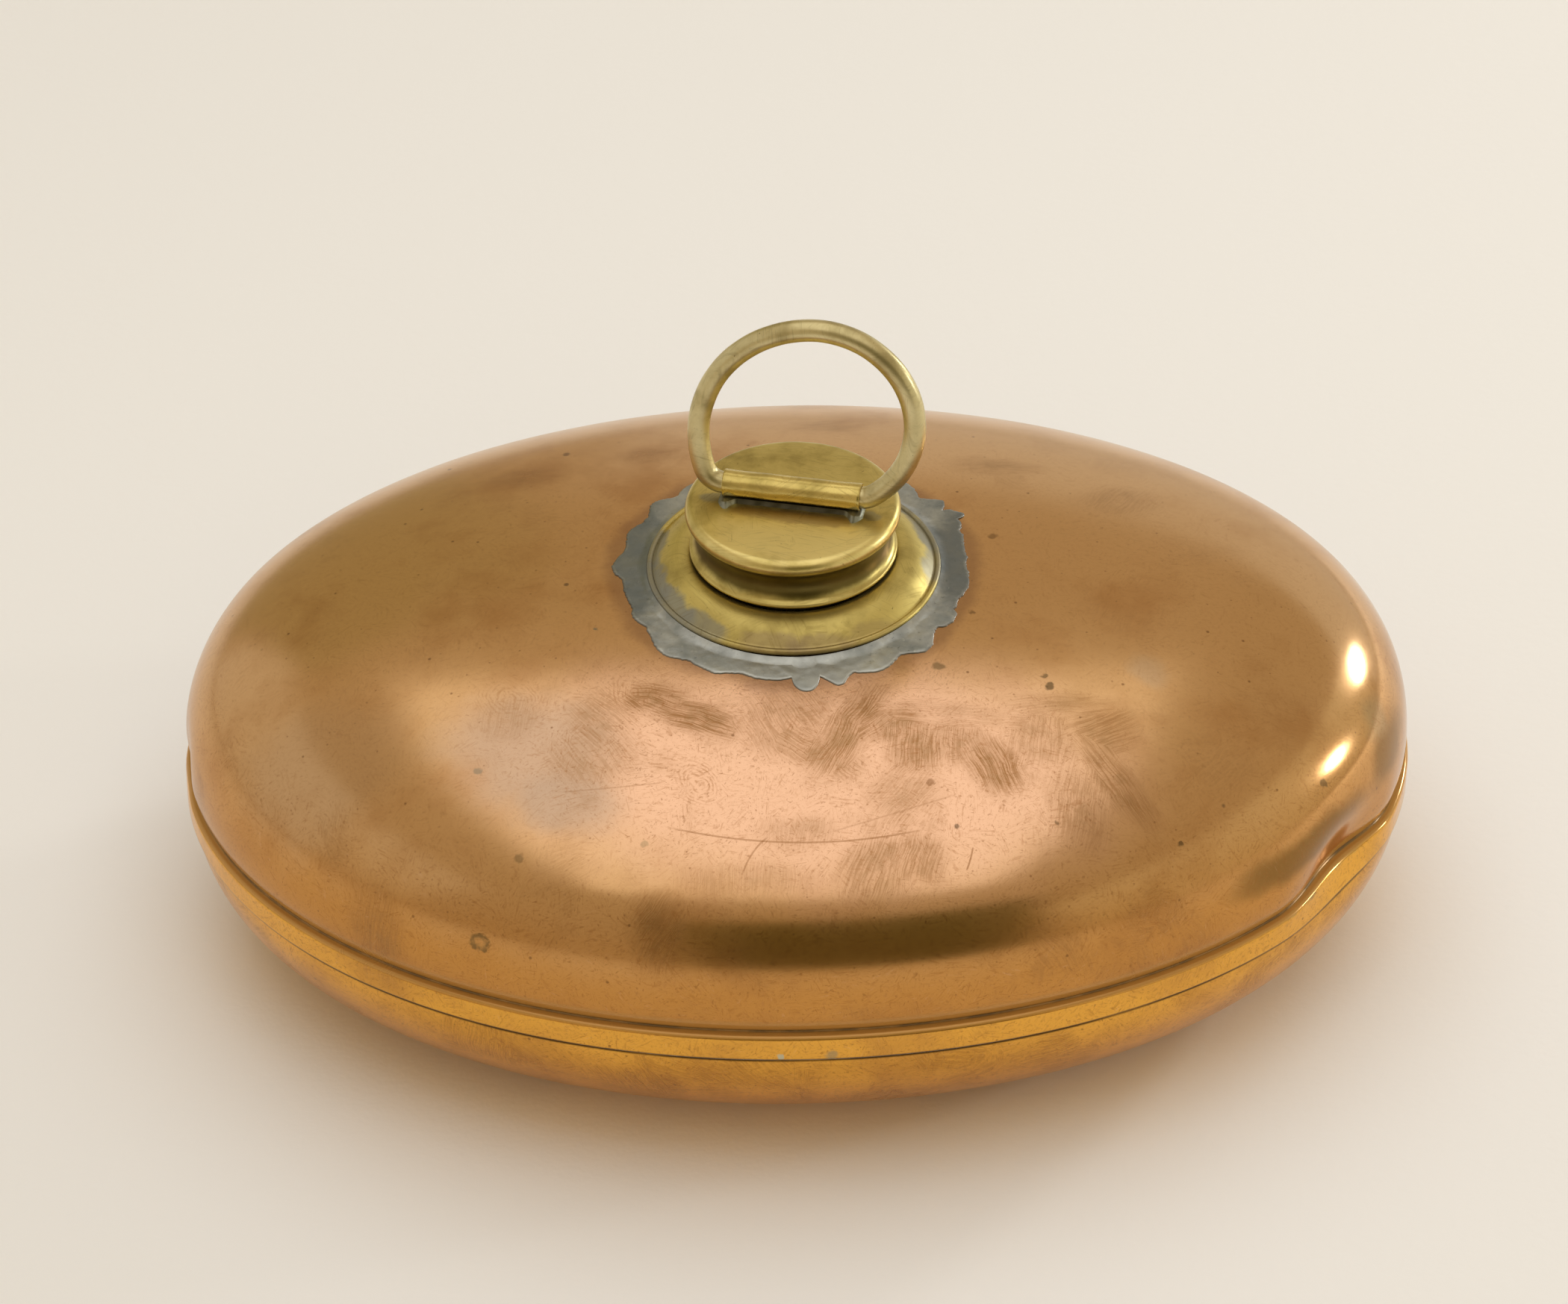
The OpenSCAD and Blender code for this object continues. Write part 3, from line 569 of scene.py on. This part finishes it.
def rubbed_patches(tree, ragged, lines):
    """Where hands have rubbed the dome, where they rubbed it most, and which way the strokes run."""
    rubbed, cores = 0, 0
    for middle, (along, across), angle, way, strong in RUBS:
        far = from_middle(tree, ragged, middle, (along, across, 15), angle)
        near = add(tree, "rise", far, 1.25, 0.45)
        rubbed = add(tree, "most", rubbed, add(tree, "times", near, strong))
        cores = add(tree, "most", cores, add(tree, "rise", far, 0.85, 0.1, strong))
        here = add(tree, "Math", {0: near, 1: 0.3}, operation="GREATER_THAN")
        turn = (0, 0, math.radians(90 - way))
        lines = add(tree, "Mix", {0: here, 4: lines, 5: turn}, out=1, data_type="VECTOR")
    return rubbed, cores, lines


def ring_line(tree, far, radius):
    """How far a place lies from a circle, where far is its distance from the circle's middle."""
    return add(tree, "Math", {0: add(tree, "less", far, radius)}, operation="ABSOLUTE")


def single_marks(tree, colour, place, ragged):
    """Lays single marks over the dome's colour: spots, a stain, finger marks and scratches."""
    fine = bent(tree, place, 2, 1)
    for middle, radius, tone, strong in SPOTS:
        near = add(tree, "rise", from_middle(tree, fine, middle, (radius,) * 3), 1.15, 0.6, strong)
        colour = add(tree, "over", colour, tone, near)
    # A ragged stain left by a drop that dried, darkest in a ring
    stain = from_middle(tree, bent(tree, place, 2.4, 1.6), (-69, -87, 60), (2.3, 2.3, 2.3))
    mottle = add(tree, "rise", cloud(tree, place, 1.3, 6), 0.38, 0.6)
    dark_ring = add(tree, "rise", ring_line(tree, stain, 0.85), 0.4, 0.1, 0.75)
    colour = add(tree, "over", colour, "6E5634", add(tree, "times", dark_ring, mottle))
    inside_it = add(tree, "rise", stain, 1.1, 0.7, 0.4)
    colour = add(tree, "over", colour, "8C7048", add(tree, "times", inside_it, mottle))
    # Finger marks have ridges 0.5 mm apart, drawn 0.8 mm apart so that they show
    for middle, halves, strong in PRINTS:
        whorl = from_middle(tree, bent(tree, place, 9, 2.4), middle, (0.8, 1.3, 0.8), 25)
        ridge = add(tree, "Math", {0: add(tree, "times", whorl, math.tau)}, operation="SINE")
        near = add(tree, "rise", from_middle(tree, ragged, middle, halves), 1.0, 0.5, strong)
        near = add(tree, "times", near, mottle)
        near = add(tree, "times", near, add(tree, "rise", ridge, -0.2, 0.8))
        colour = add(tree, "over", colour, "A87446", near)
    for (x, y), radius, middle, half, strong in SCRATCHES:
        out = from_middle(tree, place, (x, y, 0), (radius, radius, ENDLESS))
        off = add(tree, "times", ring_line(tree, out, 1), radius)
        here = add(tree, "rise", from_middle(tree, place, middle, (half,) * 3), 1.1, 0.8, strong)
        colour = add(tree, "over", colour, "8C5A28",
                     add(tree, "times", add(tree, "rise", off, 0.26, 0.1), here))
    return colour


def tarnish_and_painted_shade(tree, colour, place, height):
    """Lays a tarnished brown with painted shade in the hollow over the ledge, a dark line in its crease,
    grime with a painted shadow on the raw edge, and old flux along the solder pool. Gives the colour, and
    where it covers the metal."""
    dirt = cloud(tree, place, 9, 2)
    ledge = add(tree, "rise", height, (CREST - 0.95) * MM, (CREST - 0.25) * MM)
    groove_tarnish_and_shade = add(tree, "times", add(tree, "rise", height, 49 * MM, 46.5 * MM), ledge)
    line_top = add(tree, "rise", height, (CREST + 1.05) * MM, (CREST + 0.55) * MM)
    line = add(tree, "times", line_top, add(tree, "rise", height, CREST * MM, (CREST + 0.25) * MM))
    line = add(tree, "times", line, add(tree, "rise", dirt, 0.35, 0.6, 0.9, 0.5))
    edge = add(tree, "rise", height, (SEAM + 0.5) * MM, SEAM * MM, 0.9)
    # The brown over the ledge is tarnish with painted shade in the hollow; the dark on the raw edge is grime
    # with a painted shadow
    for tone, share in (("C0904A", groove_tarnish_and_shade), ("5E4826", line), ("4A3820", edge)):
        colour = add(tree, "over", colour, tone, share)
    covered = add(tree, "plus", groove_tarnish_and_shade, edge)
    # How far out the flux's brown lies, in mm from the stopper's axis
    reach = from_middle(tree, place, (0, 0, 0), (1, 1, ENDLESS))
    reach = add(tree, "plus", reach, add(tree, "times", dirt, 7))
    by_pool = add(tree, "rise", reach, 47.5, 43.5, 0.45)
    by_pool = add(tree, "times", by_pool, add(tree, "rise", height, 80 * MM, 85 * MM))
    return add(tree, "over", colour, "8A6450", by_pool), covered


def copper_sheet(name, upper):
    """Copper sheet, pressed, planished and rubbed bright by hand for years. To the eye it has a satin gloss
    full of hairlines and rub marks, pinkish where it is cleanest and golden brown lower down, with thin brown
    films, grey hazes, pits and specks. Painted into its colour are dark reflections by the right dent and the
    right end, pale highlights along the hairlines, and shade in the hollow over the ledge and under the raw
    edge."""
    material, tree, shader, place = new_material(name, 0.2)
    height = add(tree, "SeparateXYZ", {0: place}, out="Z")
    ragged = bent(tree, place, 9, 2.4)
    broad = cloud(tree, place, 70, 0)
    blotch = cloud(tree, place, 24, 1)
    film = cloud(tree, place, 46, 3.7)
    lifted = add(tree, "plus", height, add(tree, "times", broad, 20 * MM))
    colour = add(tree, "over", "E8AC4A", "C68E4A", add(tree, "rise", height, 44 * MM, 45.6 * MM))
    colour = add(tree, "over", colour, "D9AE7C", add(tree, "rise", lifted, 62 * MM, 90 * MM))
    colour = add(tree, "over", colour, "B07A42", add(tree, "rise", blotch, 0.48, 0.72, 0.45))
    # busy is where the metal is full of marks, as a share
    rubbed, cores, busy = 0, 0, 1.0
    lines = patch_turn(tree, bent(tree, place, 12, 3), 15)
    often, most_often, worn_tone = 0.43, 0.7, "A87434"
    if upper:
        often, most_often, worn_tone = 0.52, 0.55, "9E7042"
        clean = from_middle(tree, ragged, (4, -60, 84), (74, 37, 23), -4)
        clean = add(tree, "plus", clean, add(tree, "times", film, 0.5))
        clean = add(tree, "rise", clean, 1.45, 0.75)
        colour = add(tree, "over", colour, "EFC2A2", clean)
        busy = add(tree, "rise", clean, 0, 1, 1, 0.4)
        busy = add(tree, "most", busy, add(tree, "rise", height, 84 * MM, 66 * MM))
        # Lays the hazes and the painted dark reflections
        for middle, halves, angle, tone, strong in HAZES_AND_PAINTED_REFLECTIONS:
            near = add(tree, "plus", from_middle(tree, ragged, middle, halves, angle), blotch)
            colour = add(tree, "over", colour, tone, add(tree, "rise", near, 1.6, 0.9, strong))
        rubbed, cores, lines = rubbed_patches(tree, ragged, lines)
    # Strokes are drawn 0.3 mm wide, coarser than the real ones, so that they show at this distance
    marks = strokes(tree, bent(tree, place, 12, 1.6), lines, 0.3, 8, 1)
    loose = add(tree, "rise", cloud(tree, place, 22, 1.3), often, often + 0.15, most_often)
    rubbed = add(tree, "most", rubbed, add(tree, "times", busy, loose))
    worn = add(tree, "times", rubbed, add(tree, "rise", marks, 0.42, 0.6, 1, 0.42))
    colour = add(tree, "over", colour, worn_tone, add(tree, "times", worn, 0.85))
    if upper:
        broken = add(tree, "rise", cloud(tree, place, 5, 2.2), 0.4, 0.62, 0.6)
        colour = add(tree, "over", colour, "98744A", add(tree, "times", cores, broken))
    # Hairlines with painted highlights beside them, short dashes and fine stippled wear are everywhere, the
    # lines coarser than the real ones
    hair = strokes(tree, place, patch_turn(tree, bent(tree, place, 4, 1), 5), 0.32, 3.4, 2)
    dash = strokes(tree, place, patch_turn(tree, place, 2.3), 0.3, 1.1, 3)
    stipple = cloud(tree, place, 0.9, 8, 2)
    for tone, pattern, low, high, strong in (("9C642F", hair, 0.53, 0.7, 0.38),
                                             ("8C5A2C", dash, 0.56, 0.7, 0.5),
                                             # Painted highlights: pale lines where the hairlines catch the
                                             # light
                                             ("F4CFAE", hair, 0.4, 0.26, 0.12),
                                             ("A87444", stipple, 0.52, 0.74, 0.3)):
        share = add(tree, "times", busy, add(tree, "rise", pattern, low, high, strong))
        colour = add(tree, "over", colour, tone, share)
    for size, radius, rare, tone, strong in SPECKS:
        spot = {"Vector": place, "Scale": per(size)}
        near = add(tree, "rise", add(tree, "TexVoronoi", spot, out="Distance"), radius * 1.6, radius * 0.7)
        some = add(tree, "SeparateColor", {0: add(tree, "TexVoronoi", spot, out="Color")}, out=1)
        near = add(tree, "times", near, add(tree, "rise", some, rare, rare + 0.1))
        colour = add(tree, "over", colour, tone, add(tree, "times", near, strong))
    if upper:
        colour = single_marks(tree, colour, place, ragged)
        colour, covered = tarnish_and_painted_shade(tree, colour, place, height)
        tree.links.new(add(tree, "rise", covered, 0, 1, 0.35, 1), shader.inputs["Metallic"])
    else:
        # Painted shade and dirt under the skirt's raw edge, where the overhang shades the pan
        shade_and_dirt_under_edge = add(tree, "rise", height, (SEAM - 1.6) * MM, (SEAM - 1) * MM)
        shade_and_dirt_under_edge = add(tree, "times", shade_and_dirt_under_edge, add(tree, "rise", blotch, 0.3, 0.55, 0.95, 0.7))
        colour = add(tree, "over", colour, "3A2A14", shade_and_dirt_under_edge)
    tree.links.new(colour, shader.inputs["Base Color"])
    rough = add(tree, "plus", add(tree, "rise", blotch, 0.3, 0.75, 0.05),
                add(tree, "rise", film, 0.5, 0.75, 0.07))
    rough = add(tree, "plus", add(tree, "plus", rough, add(tree, "times", worn, 0.1)), 0.185)
    # The right end, where fewer hands rub, keeps more of its gloss
    glossy = add(tree, "rise", from_middle(tree, place, (135, -15, 68), (50, 62, 50)), 1.1, 0.5, -0.07)
    tree.links.new(add(tree, "plus", rough, glossy), shader.inputs["Roughness"])
    relief = add(tree, "plus", add(tree, "times", worn, -0.5), add(tree, "times", hair, -0.4))
    bumps = add(tree, "Bump", {"Height": relief, "Strength": 0.3, "Distance": 0.02 * MM})
    tree.links.new(bumps, shader.inputs["Normal"])
    return material


def soft_solder(name, dark, mid, pale, patches=()):
    """Soft solder of tin and lead, run in molten and left dull. To the eye it is cool grey with a frosted,
    mottled skin, pale at the rims where it set last, with dark flux specks and small bright scrapes. patches
    lists (middle, half sizes, colour, strength)."""
    material, tree, shader, place = new_material(name, 0.42)
    broad = cloud(tree, bent(tree, place, 5, 1.2), 6, 0)
    fine = cloud(tree, place, 1.1, 1)
    colour = add(tree, "ValToRGB", {0: broad}, stops=[(0.3, dark), (0.5, mid), (0.72, pale)])
    colour = add(tree, "over", colour, "D2D4CC", add(tree, "rise", fine, 0.6, 0.74, 0.4))
    colour = add(tree, "over", colour, "50524C", add(tree, "rise", fine, 0.4, 0.28, 0.5))
    for middle, halves, tone, strong in patches:
        near = add(tree, "plus", from_middle(tree, place, middle, halves), add(tree, "times", broad, 0.8))
        colour = add(tree, "over", colour, tone, add(tree, "rise", near, 1.7, 1.0, strong))
    # Scrapes are drawn 0.4 mm wide, so that they show
    scrape = strokes(tree, place, patch_turn(tree, place, 7), 0.4, 2.6, 4)
    colour = add(tree, "over", colour, "E2E4DC", add(tree, "rise", scrape, 0.68, 0.78, 0.6))
    rim = add(tree, "Attribute", out="Fac", attribute_name="near_edge")
    pale_rim = add(tree, "times", add(tree, "rise", rim, 0.6, 0.8, 0.25), add(tree, "rise", broad, 0.35, 0.6))
    colour = add(tree, "over", colour, "C6C9C4", pale_rim)
    colour = add(tree, "over", colour, "625648", add(tree, "rise", rim, 0.84, 1.0, 0.8))
    # Along the sleeve's foot, where near_edge is below zero: a stain with painted shade under the sleeve
    colour = add(tree, "over", colour, "4A463A", add(tree, "rise", rim, -0.2, -0.9, 0.85))
    tree.links.new(colour, shader.inputs["Base Color"])
    tree.links.new(add(tree, "rise", broad, 0.3, 0.7, 0.34, 0.5), shader.inputs["Roughness"])
    relief = add(tree, "plus", add(tree, "times", fine, 0.5), broad)
    bumps = add(tree, "Bump", {"Height": relief, "Strength": 0.35, "Distance": 0.2 * MM})
    tree.links.new(bumps, shader.inputs["Normal"])
    return material


def brass(name, bright, dull, dark, roughness, lathe, bands=(), patches=()):
    """Brass, spun or turned on a lathe and gone olive with handling. To the eye it is satin, with faint rings
    from the tool. Its bands lay painted shade in the hollows, and its patches a painted highlight where the
    surface faces the light, stains and tinning. lathe is the rings' spacing in mm. bands lists (low, high,
    colour, strength) by height in mm, and patches (middle, half sizes, angle, colour, strength)."""
    material, tree, shader, place = new_material(name, roughness)
    height = add(tree, "SeparateXYZ", {0: place}, out="Z")
    reach = from_middle(tree, place, (0, 0, 0), (METRE, METRE, ENDLESS))
    across = add(tree, "CombineXYZ", {0: reach, 1: add(tree, "times", height, 1.3)})
    settings = {"Vector": across, "Scale": per(lathe), "Detail": 4, "Roughness": 0.6}
    rings = add(tree, "TexNoise", settings, out="Fac")
    blotch = cloud(tree, bent(tree, place, 8, 1), 11, 0, 5)
    shade = cloud(tree, place, 5, 1)
    ragged = bent(tree, place, 4, 1.6)
    # Handling strokes are drawn 0.35 mm wide, coarser than the real ones, so that they show
    hair = strokes(tree, place, patch_turn(tree, bent(tree, place, 4, 1), 9), 0.35, 7, 5)
    colour = add(tree, "over", dull, bright, add(tree, "rise", blotch, 0.35, 0.66))
    colour = add(tree, "over", colour, dark, add(tree, "rise", blotch, 0.5, 0.3, 0.35))
    for low, high, tone, strong in bands:
        fade = (high - low) * 0.3
        moved = add(tree, "plus", add(tree, "times", height, 1 / MM), add(tree, "times", shade, fade))
        band = add(tree, "rise", moved, low, low + fade)
        band = add(tree, "times", band, add(tree, "rise", moved, high + fade, high))
        colour = add(tree, "over", colour, tone, add(tree, "times", band, strong))
    for middle, halves, angle, tone, strong in patches:
        near = from_middle(tree, ragged, middle, halves, angle)
        near = add(tree, "plus", near, add(tree, "times", shade, 0.8))
        colour = add(tree, "over", colour, tone, add(tree, "rise", near, 1.5, 1.0, strong))
    colour = add(tree, "over", colour, dark, add(tree, "rise", hair, 0.5, 0.72, 0.26))
    colour = add(tree, "over", colour, dark, add(tree, "rise", rings, 0.56, 0.8, 0.3))
    colour = add(tree, "over", colour, "5A4826",
                 add(tree, "rise", cloud(tree, place, 0.7, 5, 2), 0.68, 0.76, 0.6))
    tree.links.new(colour, shader.inputs["Base Color"])
    rough = add(tree, "rise", blotch, 0.3, 0.7, roughness - 0.04, roughness + 0.05)
    rough = add(tree, "plus", rough, add(tree, "rise", hair, 0.5, 0.75, 0.05))
    tree.links.new(rough, shader.inputs["Roughness"])
    relief = add(tree, "plus", add(tree, "times", rings, 0.8), add(tree, "times", hair, -0.5))
    bumps = add(tree, "Bump", {"Height": relief, "Strength": 0.4, "Distance": 0.03 * MM})
    tree.links.new(bumps, shader.inputs["Normal"])
    return material


def hard_rubber(name):
    """Moulded rubber washer gone hard. To the eye it is dark brown-black and matt, with a faint bloom."""
    material, tree, shader, place = new_material(name, 0.6, metallic=0)
    fine = add(tree, "TexNoise", {"Vector": place, "Scale": per(1.4), "Detail": 5}, out="Fac")
    colour = add(tree, "ValToRGB", {0: fine}, stops=[(0.35, "1C1714"), (0.7, "3A322B")])
    tree.links.new(colour, shader.inputs["Base Color"])
    tree.links.new(add(tree, "rise", fine, 0.3, 0.7, 0.5, 0.7), shader.inputs["Roughness"])
    bumps = add(tree, "Bump", {"Height": fine, "Strength": 0.5, "Distance": 0.1 * MM})
    tree.links.new(bumps, shader.inputs["Normal"])
    return material


# The pool is darker at its left and right and paler in front. Middle, half sizes, colour and strength
POOL_PATCHES = [((-37, 2, 92), (9, 26, 9), "6A7274", 0.7), ((39, 3, 92), (9, 24, 9), "686E70", 0.75),
                ((0, -37, 91), (26, 6, 9), "C0C4C2", 0.4)]
# The solder tinned the collar's outer flare, most of all at its left and right. Direction in degrees, half
# width, colour and strength
GREY, BROWN = "93938A", "8E7A68"
TINNED = [(-150, 3.6, GREY, 0.85), (-168, 3, GREY, 0.85), (170, 3, GREY, 0.8), (-132, 3, GREY, 0.7),
          (-4, 3, GREY, 0.7), (18, 3.6, GREY, 0.85), (42, 4, GREY, 0.85), (-100, 3, BROWN, 0.45),
          (-80, 3, BROWN, 0.45), (-58, 2.6, BROWN, 0.3)]
FLARE_R = 31.4
flare_patches = []
for direction, wide, tone, strong in TINNED:
    t = math.radians(direction)
    middle = (FLARE_R * math.cos(t), FLARE_R * math.sin(t), rim_z + 2)
    flare_patches.append((middle, (wide, 9, 5), direction, tone, strong))
# On the cap: painted shade in the waist under the disc's edge, a painted reflection of the overhead light on
# the disc's front, stained and tinned along the sleeve's foot
CAP_BANDS = [(101.6, 107.6, "463A14", 0.85)]
# The first patch is a painted reflection of the overhead light on the disc's front
CAP_PATCHES = [((1.5, -14.5, 112.6), (25, 11, 4), -5, "F2E09A", 0.85),
               ((0.5, -6.6, 112.6), (17, 2.6, 3), -12.5, "94785A", 0.5),
               ((-17.5, 1.5, 112.6), (3.6, 2, 3), -12.5, "8C9088", 0.5),
               ((17, -6.5, 112.6), (2.8, 2, 3), -12.5, "8C9088", 0.5)]
# On the sleeve: painted shade along its underside, next to the disc
SLEEVE_BANDS = [(112, 114.2, "4E4018", 0.7)]

solder = soft_solder("soft_solder_grey", "8A9090", "A2A6A6", "BCC0BE", POOL_PATCHES)
stained_and_shaded_solder = soft_solder("soft_solder_stained_and_shaded", "7A7C70", "8E9084", "AEB0A2")
collar_brass = brass("spun_brass_collar", "D8C67A", "C4B26C", "7C6832", 0.42, 0.5, patches=flare_patches)
cap_brass = brass("spun_brass_cap", "D8C67E", "C2AE66", "6E5E2E", 0.34, 0.6, CAP_BANDS, CAP_PATCHES)
sleeve_brass = brass("rolled_brass_sleeve", "E2CC80", "C4B068", "6A5A2A", 0.28, 0.9, SLEEVE_BANDS)
ring_brass = brass("drawn_brass_ring", "DED2A4", "C6B888", "6E6240", 0.34, 1.2)
plug_brass = brass("turned_brass_plug", "D6B866", "B89C54", "66522A", 0.26, 0.4)
finishes = [(upper_shell, copper_sheet("copper_sheet_dome", True)),
            (lower_shell, copper_sheet("copper_sheet_pan", False)),
            (seam_solder, solder), (solder_pool, solder), (sleeve_solder, stained_and_shaded_solder),
            (collar, collar_brass), (cap, cap_brass), (sleeve, sleeve_brass), (ring, ring_brass),
            (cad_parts["neck_socket"], plug_brass), (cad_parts["screw_plug"], plug_brass),
            (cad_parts["sealing_washer"], hard_rubber("washer_rubber_black"))]
for piece, material in finishes:
    piece.data.materials.clear()
    piece.data.materials.append(material)

scene = bpy.context.scene


def set_up(thing, place, look_at, face="-Z"):
    """Puts a camera, lamp or sheet in its place, with its face turned to a point, if one is given."""
    scene.collection.objects.link(thing)
    thing.location = place
    if look_at:
        thing.rotation_mode = "QUATERNION"
        thing.rotation_quaternion = (Vector(look_at) - Vector(place)).to_track_quat(face, "Y")


# Camera: at the photograph's angle, 1.15 m from the body's middle, and tilted a little to one side
CAMERA_TILT = math.radians(-0.974)
camera = bpy.data.objects.new("camera", bpy.data.cameras.new("camera"))
set_up(camera, Vector((-5.38, -896.08, 763.57)) * MM, Vector((-2.388, 34.961, 42.8)) * MM)
camera.rotation_quaternion = camera.rotation_quaternion @ Quaternion((0, 0, 1), CAMERA_TILT)
camera.data.lens = 114.94
camera.data.sensor_width = 36
scene.camera = camera


def stage_sheet(name, size, place, look_at=None):
    """A flat sheet of studio equipment. Sizes and places in the studio are in metres."""
    bm = bmesh.new()
    bmesh.ops.create_grid(bm, x_segments=1, y_segments=1, size=0.5)
    bmesh.ops.scale(bm, vec=(*size, 1), verts=bm.verts)
    mesh = bpy.data.meshes.new(name)
    bm.to_mesh(mesh)
    bm.free()
    sheet = bpy.data.objects.new(name, mesh)
    set_up(sheet, place, look_at, "Z")
    return sheet


# Floor: a sheet of warm pale paper, matt, with a fine grain
floor = stage_sheet("paper_floor", (30, 30), (0, 0, 0))
material, tree, shader, place = new_material("pale_paper", 0.75, metallic=0)
grain = add(tree, "TexNoise", {"Vector": place, "Scale": per(2.5), "Detail": 4}, out="Fac")
shader.inputs["Base Color"].default_value = linear("F6F3EC")
bumps = add(tree, "Bump", {"Height": grain, "Strength": 0.3, "Distance": 0.3 * MM})
tree.links.new(bumps, shader.inputs["Normal"])
floor.data.materials.append(material)

# Plain surroundings
world = bpy.data.worlds.new("studio")
scene.world = world
world.use_nodes = True
background = world.node_tree.nodes["Background"]
background.inputs["Color"].default_value = linear("F0DAB4")
background.inputs["Strength"].default_value = 0.6


def soft_light(name, size, place, look_at, power, colour, shape="RECTANGLE", mirrored=True):
    """A flat studio light. One that isn't mirrored only fills in."""
    light = bpy.data.lights.new(name, "AREA")
    light.shape = shape
    light.size, light.size_y = size
    light.energy = power
    light.color = linear(colour)[:3]
    lamp = bpy.data.objects.new(name, light)
    set_up(lamp, place, look_at)
    lamp.visible_glossy = mirrored


soft_light("overhead_box", (0.95, 1.42), (-0.02, -0.04, 1.0), (-0.02, -0.04, 0), 2.72, "F7FBFF")
soft_light("right_lamp", (0.21, 0.17), (1.17, 0.84, 0.41), (0.1, 0, 0.06), 3.4, "FBFDFF", "ELLIPSE")
soft_light("right_lamp_low", (0.15, 0.12), (1.42, 0.18, 0.37), (0.1, 0, 0.06), 1.9, "FBFDFF", "ELLIPSE")
soft_light("fill", (3, 3), (0.1, 0.3, 2.5), (0, 0, 0), 27, "B0CEF4", mirrored=False)
soft_light("front_fill", (2, 2), (0.5, -2.2, 2.0), (0, 0, 0), 6, "FFE8C8", mirrored=False)


def studio_card(name, size, place, colour, strength):
    """A card beside the object that is only seen mirrored in it."""
    card = stage_sheet(name, size, place, (0, 0, 0.06))
    material = bpy.data.materials.new(name)
    material.use_nodes = True
    tree = material.node_tree
    # The card only glows, so its shader goes, and the output is the one node left
    tree.nodes.remove(next(n for n in tree.nodes if n.type == "BSDF_PRINCIPLED"))
    surface = tree.nodes[0].inputs["Surface"]
    tree.links.new(add(tree, "Emission", {"Color": colour, "Strength": strength}), surface)
    card.data.materials.append(material)
    card.visible_camera = card.visible_shadow = card.visible_diffuse = card.visible_transmission = False


studio_card("dark_front_card", (1.82, 1.73), (0.28, -2.09, 0.685), "70673E", 0.88)
studio_card("pale_left_card", (4.0, 1.75), (-2.09, 0.22, 0.88), "D6CDBD", 1.0)
studio_card("pale_right_card", (4.0, 1.3), (2.07, -0.36, 0.66), "DAD0B5", 1.0)
studio_card("dim_back_card", (1.3, 2.1), (-1.06, 2.27, 0.95), "AEA179", 1.0)
studio_card("pale_back_card", (3.1, 1.2), (1.12, 2.4, 0.62), "D9D2C4", 1.0)

scene.view_settings.view_transform = "Standard"
